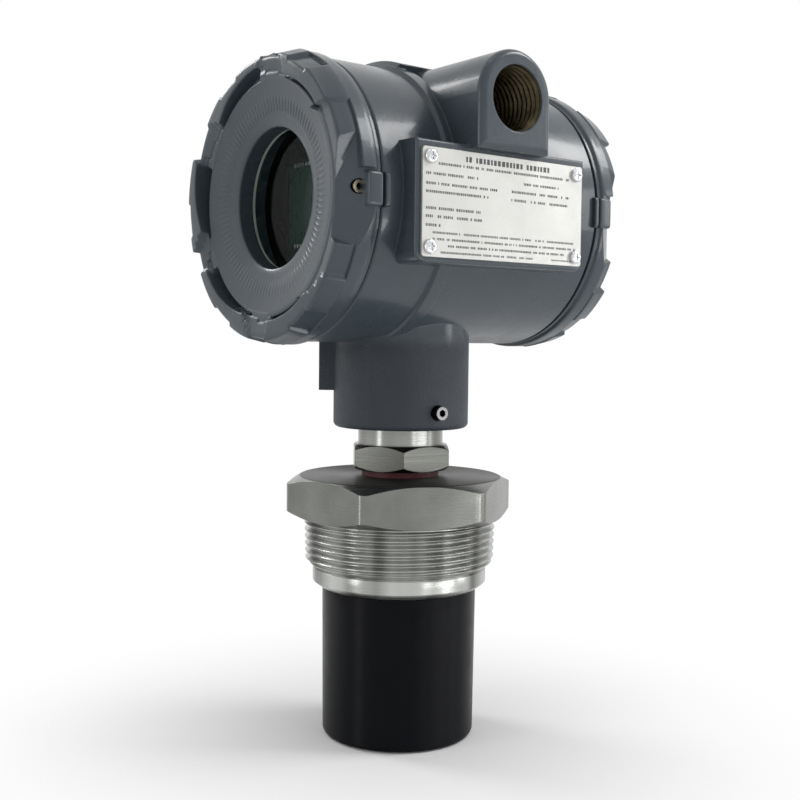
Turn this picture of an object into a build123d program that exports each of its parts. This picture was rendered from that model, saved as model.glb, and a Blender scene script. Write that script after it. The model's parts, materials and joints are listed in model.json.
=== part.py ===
from build123d import *
import os
from math import cos, radians, sin

os.makedirs("parts", exist_ok=True)

# Ultrasonic level sensor standing on its sensing face.
# Z is up, the origin is the centre of the sensing face, and the round head lies along Y.
# The glazed front cover faces -Y. The name plate and the open conduit entry are on +X.
# Sizes are millimetres. Each height and radius is stacked on the one that carries it.

# shared clearances
turn_gap = 0.3
seat_gap = 0.1
screw_gap = 0.3

# threaded mounting plug, 2 inch pipe thread
pipe_thread_radius = 30.0
thread_length = 14.6
thread_lead = 1.6
collar_step = 2.6
collar_height = 7.1
collar_chamfer = 2.2
collar_groove = 0.9
hex_margin = 1.75
hex_height = 13.0
hex_chamfer = 2.9
hex_corner_turn = 5.3
collar_radius = pipe_thread_radius - collar_step
hex_flats = 2 * (pipe_thread_radius + hex_margin)

# ultrasonic transducer
sensor_step = 3.1
sensor_draft = 0.4
sensor_height = 46.6
sensor_wall = 3.4
sensor_floor = 2.6
sensor_edge = 1.4
spigot_step = 0.3
spigot_length = 13.4
cup_ring_section = 0.7
cup_ring_depth = 1.6
cup_ring_width = 2.8
cup_ring_drop = 3.4
matching_margin = 1.4
matching_thickness = 2.4
piezo_margin = 2.0
piezo_thickness = 6.0
backing_thickness = 24.0
probe_radius = 2.2
probe_length = 16.0
probe_sink = 14.0
probe_offset = 13.0
clamp_ring_height = 4.0
clamp_ring_wall = 7.0
clamp_slot_width = 4.0
clamp_slot_depth = 1.6
sensor_radius_top = collar_radius - sensor_step
sensor_radius_foot = sensor_radius_top - sensor_draft
spigot_radius = sensor_radius_top - spigot_step
spigot_top = sensor_height + spigot_length
plug_foot = sensor_height + turn_gap
thread_foot = plug_foot + collar_height
hex_foot = thread_foot + thread_length
hex_top = hex_foot + hex_height
plug_bore = spigot_radius + turn_gap
plug_bore_top = spigot_top + clamp_ring_height + 1
plug_room_radius = spigot_radius - 5
plug_web = 7.6
plug_room_top = hex_top - plug_web

# stem between plug and head
stem_radius = 13.35
stem_thread_step = 3.35
stem_wall = 3.0
stem_hex_margin = 1.25
stem_hex_height = 7.9
stem_hex_chamfer = 1.6
stem_hex_turn = 26.0
seal_thickness = 2.0
seal_step = 1.2
stem_show = 5.3
neck_screw_rise = 5.5
neck_screw_radius = 2.0
neck_screw_socket = 1.15
neck_screw_stand = 2.55
neck_screw_turn = -6.0
lock_groove_depth = 1.0
lock_groove_height = 5.2
neck_ring_rise = 7.7
neck_ring_section = 1.0
ring_groove_depth = 1.9
ring_groove_height = 2.6
stem_end_rise = 5.0
stem_thread_radius = stem_radius - stem_thread_step
stem_bore = stem_thread_radius - stem_wall
stem_hex_flats = 2 * (stem_radius + stem_hex_margin)
seal_radius = stem_radius - seal_step
stem_hex_foot = hex_top + seal_thickness
stem_hex_top = stem_hex_foot + stem_hex_height
neck_foot = stem_hex_top + stem_show
neck_screw_height = neck_foot + neck_screw_rise
neck_ring_height = neck_screw_height + neck_ring_rise
stem_top = neck_ring_height + stem_end_rise

# head casting
neck_show = 26.5
neck_wall = 7.6
neck_edge = 1.8
neck_wire_step = 4.65
foot_lug_stand = 3.95
foot_lug_width = 12.0
foot_lug_rise = 11.4
foot_lug_length = 20.0
foot_lug_turn = 225.0
body_radius = 41.2
body_front = -38.5
body_rear = 43.5
body_edge = 0.5
casting_wall = 4.6
collar_inset = 8.2
collar_wall = 2.8
collar_length = 8.0
collar_edge = 0.8
wall_back = 2.6
partition_thickness = 4.0
room_corner = 2.0
band_rise = 1.0
band_front_lap = 0.8
band_rear_lap = 0.6
saddle_rise = 2.4
saddle_turn = 21.0
head_axis = neck_foot + neck_show + body_radius
neck_bore = stem_radius + turn_gap
neck_radius = neck_bore + neck_wall
neck_wire_bore = neck_bore - neck_wire_step
neck_screw_reach = neck_radius + neck_screw_stand
foot_lug_reach = neck_radius + foot_lug_stand
foot_lug_low = neck_foot + foot_lug_rise
room_radius = body_radius - casting_wall
collar_thread_radius = body_radius - collar_inset
collar_bore = collar_thread_radius - collar_wall
band_radius = body_radius + band_rise
saddle_radius = body_radius + saddle_rise

# conduit entries
conduit_radius = 9.25
conduit_depth = 19.0
conduit_inner_step = 1.05
conduit_sink = 14.3
boss_wall = 3.95
boss_arch_rise = 0.4
boss_drop = 14.5
boss_stand = 4.0
boss_edge = 2.0
conduit_height = head_axis + body_radius - conduit_sink
boss_radius = conduit_radius + boss_wall
boss_arch_height = conduit_height + boss_arch_rise
boss_low = conduit_height - boss_drop

# name plate and its flat
plate_length = 60.4
plate_height = 29.2
plate_corner = 0.9
plate_thickness = 0.8
plate_stand = 6.3
plate_top_gap = 1.2
pad_margin = 1.5
pad_corner = 3.0
pad_edge = 0.8
plate_screw_inset = 2.6
plate_screw_head = 2.0
plate_screw_height = 1.2
plate_screw_shank = 1.1
plate_screw_length = 5.0
plate_screw_slot = 0.5
plate_face = body_radius + plate_stand
boss_face = plate_face + boss_stand
plate_centre_height = boss_low - plate_top_gap - plate_height / 2
saddle_rear = boss_radius - 0.6

# screwed covers
cover_gap = 0.6
cover_depth = 10.9
cover_edge = 0.9
lobe_edge = 1.8
lobe_edge_run = 4.0
lug_rise = 1.2
lug_lower = 0.8
lug_depth = 4.6
lug_taper = 2.2
lug_taper_run = 5.6
lug_notch_depth = 1.0
lug_notch_start = 19.0
lug_notch_end = 33.0
flange_rise = 0.9
flange_depth = 4.4
pocket_band = 6.6
pocket_wall = 3.6
pocket_depth = 6.4
pocket_trim = 2.0
lug_spans = ((37, 76, 2.1), (94, 143, 1.9), (157, 200, 3.0), (210, 261, 2.1), (276, 318, 1.9))
lock_flat_low = 15.4
lock_flat_high = 6.0
lock_flat_inset = 6.0
lock_flat_run = 7.0
lock_flat_rise = 9.5
lock_block_width = 9.8
lock_block_length = 3.3
lock_block_stand = 3.0
lock_block_root_step = 5.2
lock_hole_root_step = 3.0
glass_seat_depth = 7.7
gasket_thickness = 1.0
glass_thickness = 8.0
glass_ring_height = 3.0
glass_ring_slot = 2.4
turret_gap = 1.6
turret_wall = 3.4
glass_ring_step = 1.4
window_lap = 3.6
dish_width = 13.4
dish_depth = 2.8
cover_ring_section = 1.05
cover_ring_seat = 2.5
cover_ring_squeeze = 0.2
lock_screw_radius = 1.75
lock_screw_set = 5.4
lock_screw_socket = 1.0
lobe_radius = body_radius
lug_radius = lobe_radius + lug_rise
lug_reach = max(lift for start, end, lift in lug_spans)
flange_radius = lobe_radius + flange_rise
pocket_inner = lobe_radius - pocket_band
pocket_outer = lug_radius - pocket_wall
lock_flat_inner = lobe_radius - lock_flat_inset
lock_block_radius = lobe_radius + lock_block_stand
lock_block_root = lobe_radius - lock_block_root_step
lock_block_middle = (lock_block_root + lock_block_radius) / 2
lock_hole_root = collar_thread_radius - lock_hole_root_step
turret_radius = collar_bore - turret_gap
glass_ring_radius = turret_radius - turret_wall
glass_radius = glass_ring_radius - glass_ring_step
window_radius = glass_radius - window_lap
front_face = body_front - cover_gap - cover_depth
rear_face = body_rear + cover_gap + cover_depth
front_rim = body_front - cover_gap
rear_rim = body_rear + cover_gap
glass_seat = front_face + glass_seat_depth
glass_front = glass_seat + gasket_thickness
glass_back = glass_front + glass_thickness
turret_end = glass_back + glass_ring_height + turn_gap

# display and boards in the front room, each behind the one before
bezel_margin = 2.6
bezel_thickness = 5.0
pane_side_margin = 10.6
pane_top_margin = 14.6
pane_sink = 0.5
board_margin = 3.2
board_thickness = 1.6
board_space = 4.0
post_foot = 2.0
post_radius = 2.5
post_bore = 1.4
post_inset = 4.0
post_tap_depth = 2.4
bezel_radius = collar_bore - bezel_margin
pane_width = 2 * (bezel_radius - pane_side_margin)
pane_height = 2 * (bezel_radius - pane_top_margin)
board_radius = collar_bore - board_margin
post_ring = board_radius - post_inset
bezel_front = turret_end + turn_gap + seat_gap
display_board_front = bezel_front + bezel_thickness
display_board_rear = display_board_front + board_thickness
main_board_front = display_board_rear + board_space
main_board_rear = main_board_front + board_thickness
partition_front = main_board_rear + post_foot
partition_rear = partition_front + partition_thickness
band_front = partition_front - band_front_lap
band_rear = partition_rear + band_rear_lap
saddle_front = band_front + 1

# terminal room behind the partition
block_width = 46.0
block_height = 18.0
block_depth = 11.0
block_drop = 2.0
block_corner = 1.5
terminal_count = 6
terminal_step = 7.0
terminal_rise = 3.2
terminal_well = 5.6
terminal_well_depth = 5.0
terminal_screw_radius = 2.4
wire_mouth_width = 4.4
wire_mouth_height = 3.4
block_screw_inset = 4.5
block_screw_bore = 1.6
block_screw_head = 2.6
block_screw_well = 3.0
feed_radius = 5.0
feed_flange = 1.6
feed_flange_height = 1.4
feed_pin_radius = 0.45
feed_pin_step = 3.6
ground_screw_radius = 3.4
ground_washer_width = 8.4

head_line = Axis((0, 0, head_axis), (0, 1, 0))
head_plane = Plane(origin=(0, 0, head_axis), x_dir=(0, 1, 0), z_dir=(1, 0, 0))
side_plane = Plane(origin=(0, 0, 0), x_dir=(0, 1, 0), z_dir=(1, 0, 0))
cross_plane = Plane(origin=(0, 0, head_axis), x_dir=(1, 0, 0), z_dir=(0, -1, 0))
neck_screw_way = (cos(radians(neck_screw_turn)), sin(radians(neck_screw_turn)), 0)
neck_screw_plane = Plane(origin=(0, 0, neck_screw_height), x_dir=(0, 0, 1), z_dir=neck_screw_way)


def polar(radius, angle):
    """Point of a sketch at a radius and an angle in degrees."""
    return (radius * cos(radians(angle)), radius * sin(radians(angle)))


def wedge(start, end):
    """Corners of a pie slice about the sketch origin, angles in degrees."""
    reach = 2 * body_radius
    return [(0.0, 0.0), polar(reach, start), polar(reach, (start + end) / 2), polar(reach, end)]


# Transducer cup: a shallow-tapered plastic pot, closed below by the sensing diaphragm.
groove_high_cup = spigot_top - cup_ring_drop
groove_low_cup = groove_high_cup - cup_ring_width
with BuildPart() as transducer_cup:
    with BuildSketch(Plane.XZ):
        with BuildLine():
            Polyline(
                (0, 0),
                (sensor_radius_foot - sensor_edge, 0),
                (sensor_radius_foot - sensor_edge * 0.3, sensor_edge * 0.3),
                (sensor_radius_foot, sensor_edge),
                (sensor_radius_top, sensor_height),
                (spigot_radius, sensor_height),
                (spigot_radius, groove_low_cup),
                (spigot_radius - cup_ring_depth, groove_low_cup),
                (spigot_radius - cup_ring_depth, groove_high_cup),
                (spigot_radius, groove_high_cup),
                (spigot_radius, spigot_top),
                (spigot_radius - sensor_wall - spigot_step, spigot_top),
                (sensor_radius_foot - sensor_wall, sensor_floor),
                (0, sensor_floor),
                close=True,
            )
        make_face()
    revolve(axis=Axis.Z)

# Rubber ring in the groove near the top of the cup.
cup_ring_centre = spigot_radius - cup_ring_depth + seat_gap + cup_ring_section
with BuildPart() as transducer_ring:
    with BuildSketch(Plane.XZ):
        with Locations((cup_ring_centre, (groove_low_cup + groove_high_cup) / 2)):
            Circle(cup_ring_section)
    revolve(axis=Axis.Z)

matching_radius = sensor_radius_foot - sensor_wall - matching_margin
with BuildPart() as matching_layer:
    with BuildSketch(Plane.XY.offset(sensor_floor)):
        Circle(matching_radius)
    extrude(amount=matching_thickness)

piezo_foot = sensor_floor + matching_thickness
with BuildPart() as piezo_disc:
    with BuildSketch(Plane.XY.offset(piezo_foot)):
        Circle(matching_radius - piezo_margin)
    extrude(amount=piezo_thickness)

# Sound absorber behind the disc, with a well for the temperature probe.
backing_foot = piezo_foot + piezo_thickness
backing_top = backing_foot + backing_thickness
with BuildPart() as backing_block:
    with BuildSketch(Plane.XY.offset(backing_foot)):
        Circle(matching_radius)
    extrude(amount=backing_thickness)
    with BuildSketch(Plane.XY.offset(backing_top)):
        with Locations((probe_offset, 0)):
            Circle(probe_radius + seat_gap)
    extrude(amount=-probe_sink, mode=Mode.SUBTRACT)

with BuildPart() as temperature_probe:
    with BuildSketch(Plane.XY.offset(backing_top - probe_sink)):
        with Locations((probe_offset, 0)):
            Circle(probe_radius)
    extrude(amount=probe_length)

# Threaded ring that clamps the cup from above inside the plug.
with BuildPart() as transducer_clamp_ring:
    with BuildSketch(Plane.XY.offset(spigot_top)):
        Circle(spigot_radius)
        Circle(spigot_radius - clamp_ring_wall, mode=Mode.SUBTRACT)
    extrude(amount=clamp_ring_height)
    with BuildSketch(Plane.XY.offset(spigot_top + clamp_ring_height)):
        Rectangle(clamp_slot_width, 3 * spigot_radius)
    extrude(amount=-clamp_slot_depth, mode=Mode.SUBTRACT)

# Mounting plug: hexagon over the threaded length, a plain collar below, a bore for the cup.
hex_corner = hex_flats / 2 / cos(radians(30))
with BuildPart() as mounting_plug:
    with BuildSketch(Plane.XY.offset(hex_foot)):
        RegularPolygon(hex_corner, 6, rotation=hex_corner_turn)
    extrude(amount=hex_height)
    with BuildSketch(Plane.XZ):
        with BuildLine():
            Polyline(
                (0, hex_foot),
                (hex_flats / 2 + seat_gap, hex_foot),
                (hex_corner + seat_gap, hex_foot + hex_chamfer * 0.85),
                (hex_corner + seat_gap, hex_top - hex_chamfer * 0.95),
                (hex_flats / 2 - seat_gap, hex_top),
                (0, hex_top),
                close=True,
            )
        make_face()
    revolve(axis=Axis.Z, mode=Mode.INTERSECT)
    with BuildSketch(Plane.XZ):
        with BuildLine():
            Polyline(
                (0, plug_foot),
                (collar_radius - collar_chamfer, plug_foot),
                (collar_radius, plug_foot + collar_chamfer * 0.8),
                (collar_radius, thread_foot - collar_groove),
                (pipe_thread_radius - thread_lead, thread_foot),
                (pipe_thread_radius, thread_foot + thread_lead),
                (pipe_thread_radius, hex_foot + 1),
                (0, hex_foot + 1),
                close=True,
            )
        make_face()
    revolve(axis=Axis.Z)
    with BuildSketch(Plane.XZ):
        with BuildLine():
            Polyline(
                (0, plug_foot - 1),
                (plug_bore, plug_foot - 1),
                (plug_bore, plug_bore_top),
                (plug_room_radius, plug_bore_top),
                (plug_room_radius, plug_room_top),
                (stem_thread_radius + seat_gap, plug_room_top),
                (stem_thread_radius + seat_gap, hex_top + 1),
                (0, hex_top + 1),
                close=True,
            )
        make_face()
    revolve(axis=Axis.Z, mode=Mode.SUBTRACT)

# Flat seal between the plug and the stem hexagon.
with BuildPart() as stem_seal:
    with BuildSketch(Plane.XY.offset(hex_top)):
        Circle(seal_radius)
        Circle(stem_thread_radius + 2 * seat_gap, mode=Mode.SUBTRACT)
    extrude(amount=seal_thickness)

# Stem adapter: lower thread, small hexagon, and the turned stem that carries the head.
stem_hex_corner = stem_hex_flats / 2 / cos(radians(30))
stem_foot = plug_room_top + 2 * turn_gap
stem_edge = 1.0
groove_low = neck_screw_height - lock_groove_height / 2
groove_high = neck_screw_height + lock_groove_height / 2
ring_low = neck_ring_height - ring_groove_height / 2
ring_high = neck_ring_height + ring_groove_height / 2
with BuildPart() as stem_adapter:
    with BuildSketch(Plane.XY.offset(stem_hex_foot)):
        RegularPolygon(stem_hex_corner, 6, rotation=stem_hex_turn)
    extrude(amount=stem_hex_height)
    with BuildSketch(Plane.XZ):
        with BuildLine():
            Polyline(
                (0, stem_hex_foot),
                (stem_hex_flats / 2 - seat_gap, stem_hex_foot),
                (stem_hex_corner + seat_gap, stem_hex_foot + stem_hex_chamfer),
                (stem_hex_corner + seat_gap, stem_hex_top - stem_hex_chamfer),
                (stem_hex_flats / 2 - seat_gap, stem_hex_top),
                (0, stem_hex_top),
                close=True,
            )
        make_face()
    revolve(axis=Axis.Z, mode=Mode.INTERSECT)
    with BuildSketch(Plane.XZ):
        with BuildLine():
            Polyline(
                (0, stem_foot),
                (stem_thread_radius - stem_edge, stem_foot),
                (stem_thread_radius, stem_foot + stem_edge),
                (stem_thread_radius, stem_hex_top - seat_gap),
                (stem_radius, stem_hex_top - seat_gap),
                (stem_radius, groove_low),
                (stem_radius - lock_groove_depth, groove_low + lock_groove_depth * 0.6),
                (stem_radius - lock_groove_depth, groove_high - lock_groove_depth * 0.6),
                (stem_radius, groove_high),
                (stem_radius, ring_low),
                (stem_radius - ring_groove_depth, ring_low),
                (stem_radius - ring_groove_depth, ring_high),
                (stem_radius, ring_high),
                (stem_radius, stem_top - stem_edge),
                (stem_radius - stem_edge, stem_top),
                (0, stem_top),
                close=True,
            )
        make_face()
    revolve(axis=Axis.Z)
    with BuildSketch(Plane.XY.offset(stem_foot - 1)):
        Circle(stem_bore)
    extrude(amount=stem_top - stem_foot + 2, mode=Mode.SUBTRACT)

with BuildPart() as neck_ring:
    with BuildSketch(Plane.XZ):
        with Locations((stem_radius - ring_groove_depth + seat_gap + neck_ring_section, neck_ring_height)):
            Circle(neck_ring_section)
    revolve(axis=Axis.Z)

# Head casting: two rooms, a partition, conduit bosses, name plate flat, neck and saddle.
pad_face = plate_face - plate_thickness
pad_low = plate_centre_height - plate_height / 2 - pad_margin
pad_root = body_radius / 2
post_points = [polar(post_ring, angle) for angle in (75, 195, 315)]
plate_points = [
    (y * (plate_length / 2 - plate_screw_inset),
     plate_centre_height + z * (plate_height / 2 - plate_screw_inset))
    for y in (-1, 1)
    for z in (-1, 1)
]
block_screw_reach = block_width / 2 - block_screw_inset
terminal_fix_points = [(-block_screw_reach, -block_drop), (block_screw_reach, -block_drop)]
ground_point = polar(room_radius * 0.7, 138)
feed_point = polar(board_radius * 0.83, 249)
with BuildPart() as housing_body:
    with BuildSketch(head_plane):
        with BuildLine():
            Polyline(
                (body_front - collar_length, 0),
                (body_front - collar_length, collar_thread_radius - collar_edge),
                (body_front - collar_length + collar_edge, collar_thread_radius),
                (body_front, collar_thread_radius),
                (body_front, body_radius - body_edge),
                (body_front + body_edge, body_radius),
                (band_front, body_radius),
                (band_front + body_edge, band_radius),
                (band_rear - body_edge, band_radius),
                (band_rear, body_radius),
                (body_rear - body_edge, body_radius),
                (body_rear, body_radius - body_edge),
                (body_rear, collar_thread_radius),
                (body_rear + collar_length - collar_edge, collar_thread_radius),
                (body_rear + collar_length, collar_thread_radius - collar_edge),
                (body_rear + collar_length, 0),
                close=True,
            )
        make_face()
    revolve(axis=head_line)
    # saddle on top of the round body, where the two bosses meet
    for way in (1, -1):
        with BuildSketch(head_plane):
            with BuildLine():
                Polyline(
                    (saddle_front, body_radius - saddle_rise),
                    (saddle_front, body_radius),
                    (saddle_front + saddle_rise * 0.7, saddle_radius),
                    (saddle_rear - saddle_rise, saddle_radius),
                    (saddle_rear, body_radius),
                    (saddle_rear, body_radius - saddle_rise),
                    close=True,
                )
            make_face()
        revolve(axis=Axis((0, 0, head_axis), (0, way, 0)), revolution_arc=saddle_turn)
    # flat for the name plate
    with Locations(((pad_root + pad_face) / 2, 0, (pad_low + boss_low + 1) / 2)):
        Box(pad_face - pad_root, plate_length + 2 * pad_margin, boss_low + 1 - pad_low)
    pad_sides = housing_body.edges().filter_by(Axis.X).filter_by_position(
        Axis.Z, pad_low - seat_gap, pad_low + seat_gap)
    fillet(pad_sides, pad_corner)
    pad_rim = housing_body.faces().sort_by(Axis.X)[-1].edges()
    fillet(pad_rim, pad_edge)
    # conduit bosses: arch section, run through the casting from side to side
    with BuildSketch(side_plane.offset(-boss_face)):
        with Locations((0, boss_arch_height)):
            Circle(boss_radius)
        with Locations((0, (boss_arch_height + boss_low) / 2)):
            Rectangle(2 * boss_radius, boss_arch_height - boss_low)
    extrude(amount=2 * boss_face)
    boss_rims = housing_body.faces().sort_by(Axis.X)[-1].edges()
    fillet(boss_rims, boss_edge)
    far_boss_rims = housing_body.faces().sort_by(Axis.X)[0].edges()
    fillet(far_boss_rims, boss_edge)
    # neck below the head
    with BuildSketch(Plane.XY.offset(neck_foot)):
        Circle(neck_radius)
    extrude(amount=head_axis - neck_foot - casting_wall * 2)
    neck_rim = housing_body.edges().filter_by(GeomType.CIRCLE).filter_by_position(
        Axis.Z, neck_foot - seat_gap, neck_foot + seat_gap)
    fillet(neck_rim, neck_edge)
    # small lug on the neck, under the round body
    with BuildSketch(Plane.XY.offset(foot_lug_low).rotated((0, 0, foot_lug_turn))):
        with Locations(((foot_lug_reach + neck_radius / 2) / 2, 0)):
            Rectangle(foot_lug_reach - neck_radius / 2, foot_lug_width)
    extrude(amount=foot_lug_length)
    # inside: two round rooms behind their collars, with the partition between them
    with BuildSketch(head_plane):
        with BuildLine():
            Polyline(
                (body_front - collar_length - 1, 0),
                (body_front - collar_length - 1, collar_bore),
                (body_front + wall_back, collar_bore),
                (body_front + wall_back + room_radius - collar_bore, room_radius),
                (partition_front - room_corner, room_radius),
                (partition_front, room_radius - room_corner),
                (partition_front, 0),
                close=True,
            )
        make_face()
        with BuildLine():
            Polyline(
                (body_rear + collar_length + 1, 0),
                (body_rear + collar_length + 1, collar_bore),
                (body_rear - wall_back, collar_bore),
                (body_rear - wall_back - room_radius + collar_bore, room_radius),
                (partition_rear + room_corner, room_radius),
                (partition_rear, room_radius - room_corner),
                (partition_rear, 0),
                close=True,
            )
        make_face()
    revolve(axis=head_line, mode=Mode.SUBTRACT)
    # stem bore and wire way up into the terminal room
    with BuildSketch(Plane.XY.offset(neck_foot - 1)):
        Circle(neck_bore)
    extrude(amount=stem_top + 2.5 - neck_foot, mode=Mode.SUBTRACT)
    with BuildSketch(Plane.XY.offset(stem_top)):
        Circle(neck_wire_bore)
    extrude(amount=head_axis - stem_top - room_radius / 2, mode=Mode.SUBTRACT)
    # conduit entries, a threaded length and a smaller way in
    for side in (-1, 1):
        with BuildSketch(side_plane.offset(side * boss_face)):
            with Locations((0, conduit_height)):
                Circle(conduit_radius)
        extrude(amount=-side * conduit_depth, mode=Mode.SUBTRACT)
        with BuildSketch(side_plane.offset(side * boss_face)):
            with Locations((0, conduit_height)):
                Circle(conduit_radius - conduit_inner_step)
        extrude(amount=-side * boss_face * 0.7, mode=Mode.SUBTRACT)
    # holes: name plate screws, neck screw, board posts, terminal block, ground, feedthrough
    with BuildSketch(side_plane.offset(pad_face)):
        with Locations(*plate_points):
            Circle(plate_screw_shank + seat_gap)
    extrude(amount=-plate_screw_length - seat_gap, mode=Mode.SUBTRACT)
    with BuildSketch(neck_screw_plane):
        Circle(neck_screw_radius + screw_gap)
    extrude(amount=neck_radius + 2, mode=Mode.SUBTRACT)
    with BuildSketch(cross_plane.offset(-partition_front)):
        with Locations(*post_points):
            Circle(post_bore - seat_gap / 2)
    extrude(amount=-post_tap_depth, mode=Mode.SUBTRACT)
    with BuildSketch(cross_plane.offset(-partition_rear)):
        with Locations(*terminal_fix_points, ground_point):
            Circle(block_screw_bore)
    extrude(amount=partition_thickness * 0.65, mode=Mode.SUBTRACT)
    with BuildSketch(cross_plane.offset(-partition_rear)):
        with Locations(feed_point):
            Circle(feed_radius + seat_gap)
    extrude(amount=2 * partition_thickness, mode=Mode.SUBTRACT)

# Socket set screw that locks the head on its stem.
neck_screw_tip = stem_radius - lock_groove_depth + turn_gap
with BuildPart() as neck_lock_screw:
    with BuildSketch(neck_screw_plane.offset(neck_screw_tip)):
        Circle(neck_screw_radius)
    extrude(amount=neck_screw_reach - neck_screw_tip)
    with BuildSketch(neck_screw_plane.offset(neck_screw_reach)):
        RegularPolygon(neck_screw_socket, 6)
    extrude(amount=-2 * neck_screw_socket, mode=Mode.SUBTRACT)

# Name plate and its four screws.
with BuildPart() as nameplate:
    with BuildSketch(side_plane.offset(pad_face)):
        with Locations((0, plate_centre_height)):
            RectangleRounded(plate_length, plate_height, plate_corner)
        with Locations(*plate_points):
            Circle(plate_screw_shank + seat_gap, mode=Mode.SUBTRACT)
    extrude(amount=plate_thickness)

with BuildPart() as nameplate_screws:
    with BuildSketch(side_plane.offset(plate_face)):
        with Locations(*plate_points):
            Circle(plate_screw_head)
    extrude(amount=plate_screw_height)
    crown = nameplate_screws.faces().sort_by(Axis.X)[-4:].edges()
    fillet(crown, plate_screw_height * 0.66)
    with BuildSketch(side_plane.offset(plate_face)):
        with Locations(*plate_points):
            Circle(plate_screw_shank)
    extrude(amount=-plate_screw_length)
    with BuildSketch(side_plane.offset(plate_face + plate_screw_height)):
        with Locations(*plate_points):
            Rectangle(plate_screw_head * 1.1, plate_screw_slot)
            Rectangle(plate_screw_slot, plate_screw_head * 1.1)
    extrude(amount=-plate_screw_height / 2, mode=Mode.SUBTRACT)

# Blanking plug with a hexagon socket, in the far conduit entry.
with BuildPart() as conduit_plug:
    with BuildSketch(side_plane.offset(-boss_face + 0.8)):
        with Locations((0, conduit_height)):
            Circle(conduit_radius - seat_gap)
    extrude(amount=conduit_depth * 0.74)
    with BuildSketch(side_plane.offset(-boss_face + 0.8)):
        with Locations((0, conduit_height)):
            RegularPolygon(conduit_radius * 0.58, 6)
    extrude(amount=conduit_depth * 0.42, mode=Mode.SUBTRACT)

# Front cover: skirt with crescent pockets behind raised grip lugs, bored and dished face, glass turret.
thread_bore = collar_thread_radius + turn_gap
cover_room = body_front - collar_length - 2 * turn_gap
ring_seat = thread_bore + cover_ring_seat
with BuildPart() as front_cover:
    with BuildSketch(head_plane):
        with BuildLine():
            Polyline(
                (front_face, window_radius + dish_width),
                (front_face, lobe_radius - lobe_edge),
                (front_face + lobe_edge_run, lobe_radius),
                (front_face + lug_depth, lobe_radius),
                (front_face + lug_depth, flange_radius),
                (front_face + lug_depth + flange_depth, flange_radius),
                (front_face + lug_depth + flange_depth + cover_edge, flange_radius - cover_edge),
                (front_rim, flange_radius - cover_edge),
                (front_rim, ring_seat),
                (front_rim - cover_ring_seat, ring_seat),
                (front_rim - cover_ring_seat, thread_bore),
                (cover_room, thread_bore),
                (cover_room, turret_radius),
                (turret_end, turret_radius),
                (turret_end, glass_ring_radius + 2 * seat_gap),
                (glass_back, glass_ring_radius + 2 * seat_gap),
                (glass_back, glass_radius + 2 * seat_gap),
                (glass_seat, glass_radius + 2 * seat_gap),
                (glass_seat, window_radius),
                (front_face + dish_depth, window_radius),
                close=True,
            )
        make_face()
    revolve(axis=head_line)
    for start, end, lift in lug_spans:
        with BuildSketch(cross_plane.offset(-front_face + lift)):
            Circle(lug_radius)
            Circle(pocket_inner, mode=Mode.SUBTRACT)
            with BuildLine():
                Polyline(*wedge(start, end), close=True)
            make_face(mode=Mode.INTERSECT)
        extrude(amount=-lug_depth - lift)
        # the part of the lug past its notch stands lower
        with BuildSketch(cross_plane.offset(-front_face + lift)):
            Circle(lug_radius)
            Circle(pocket_inner, mode=Mode.SUBTRACT)
            with BuildLine():
                Polyline(*wedge(start + lug_notch_start, end), close=True)
            make_face(mode=Mode.INTERSECT)
        extrude(amount=-lug_lower, mode=Mode.SUBTRACT)
        # notch across the outside of the lug
        with BuildSketch(cross_plane.offset(-front_face + lift)):
            Circle(lug_radius + 1)
            Circle(lug_radius - lug_notch_depth, mode=Mode.SUBTRACT)
            with BuildLine():
                Polyline(*wedge(start + lug_notch_start, start + lug_notch_end), close=True)
            make_face(mode=Mode.INTERSECT)
        extrude(amount=-lug_depth - lift, mode=Mode.SUBTRACT)
        # crescent pocket, widest where the lug begins
        first = start + pocket_trim
        last = end - 2 * pocket_trim
        with BuildSketch(cross_plane.offset(-front_face + lift)):
            with BuildLine():
                Line(polar(pocket_inner, first), polar(pocket_outer, first))
                ThreePointArc(
                    polar(pocket_outer, first),
                    polar((pocket_inner + pocket_outer) / 2, (first + last) / 2),
                    polar(pocket_inner, last),
                )
                ThreePointArc(
                    polar(pocket_inner, last),
                    polar(pocket_inner, (first + last) / 2),
                    polar(pocket_inner, first),
                )
            make_face()
        extrude(amount=-pocket_depth - lift, mode=Mode.SUBTRACT)
    # the lugs lean in towards their front
    with BuildSketch(head_plane):
        with BuildLine():
            Polyline(
                (front_face - lug_reach - 1, lug_radius - lug_taper),
                (front_face - lug_reach, lug_radius - lug_taper),
                (front_face - lug_reach + lug_taper_run, lug_radius),
                (front_face - lug_reach + lug_taper_run, lug_radius + 2),
                (front_face - lug_reach - 1, lug_radius + 2),
                close=True,
            )
        make_face()
    revolve(axis=head_line, mode=Mode.SUBTRACT)
    # sloping flat for the lock screw, with a small block behind it
    with BuildSketch(Plane.XY.offset(head_axis - lock_flat_low)):
        with BuildLine():
            Polyline(
                (lock_flat_inner, front_face - lug_reach),
                (lock_flat_inner, front_face),
                (lock_flat_inner + lock_flat_run, front_face + lock_flat_rise),
                (lug_radius + lock_flat_run, front_face + lock_flat_rise),
                (lug_radius + lock_flat_run, front_face - lug_reach),
                close=True,
            )
        make_face()
    extrude(amount=lock_flat_low + lock_flat_high, mode=Mode.SUBTRACT)
    with Locations((lock_block_middle, front_rim - lock_block_length / 2, head_axis)):
        Box(lock_block_radius - lock_block_root, lock_block_length, lock_block_width)
    with BuildSketch(side_plane.offset(lock_hole_root)):
        with Locations((front_face + lock_screw_set, head_axis)):
            Circle(lock_screw_radius + screw_gap)
    extrude(amount=lug_radius - lock_hole_root + 2, mode=Mode.SUBTRACT)

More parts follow.
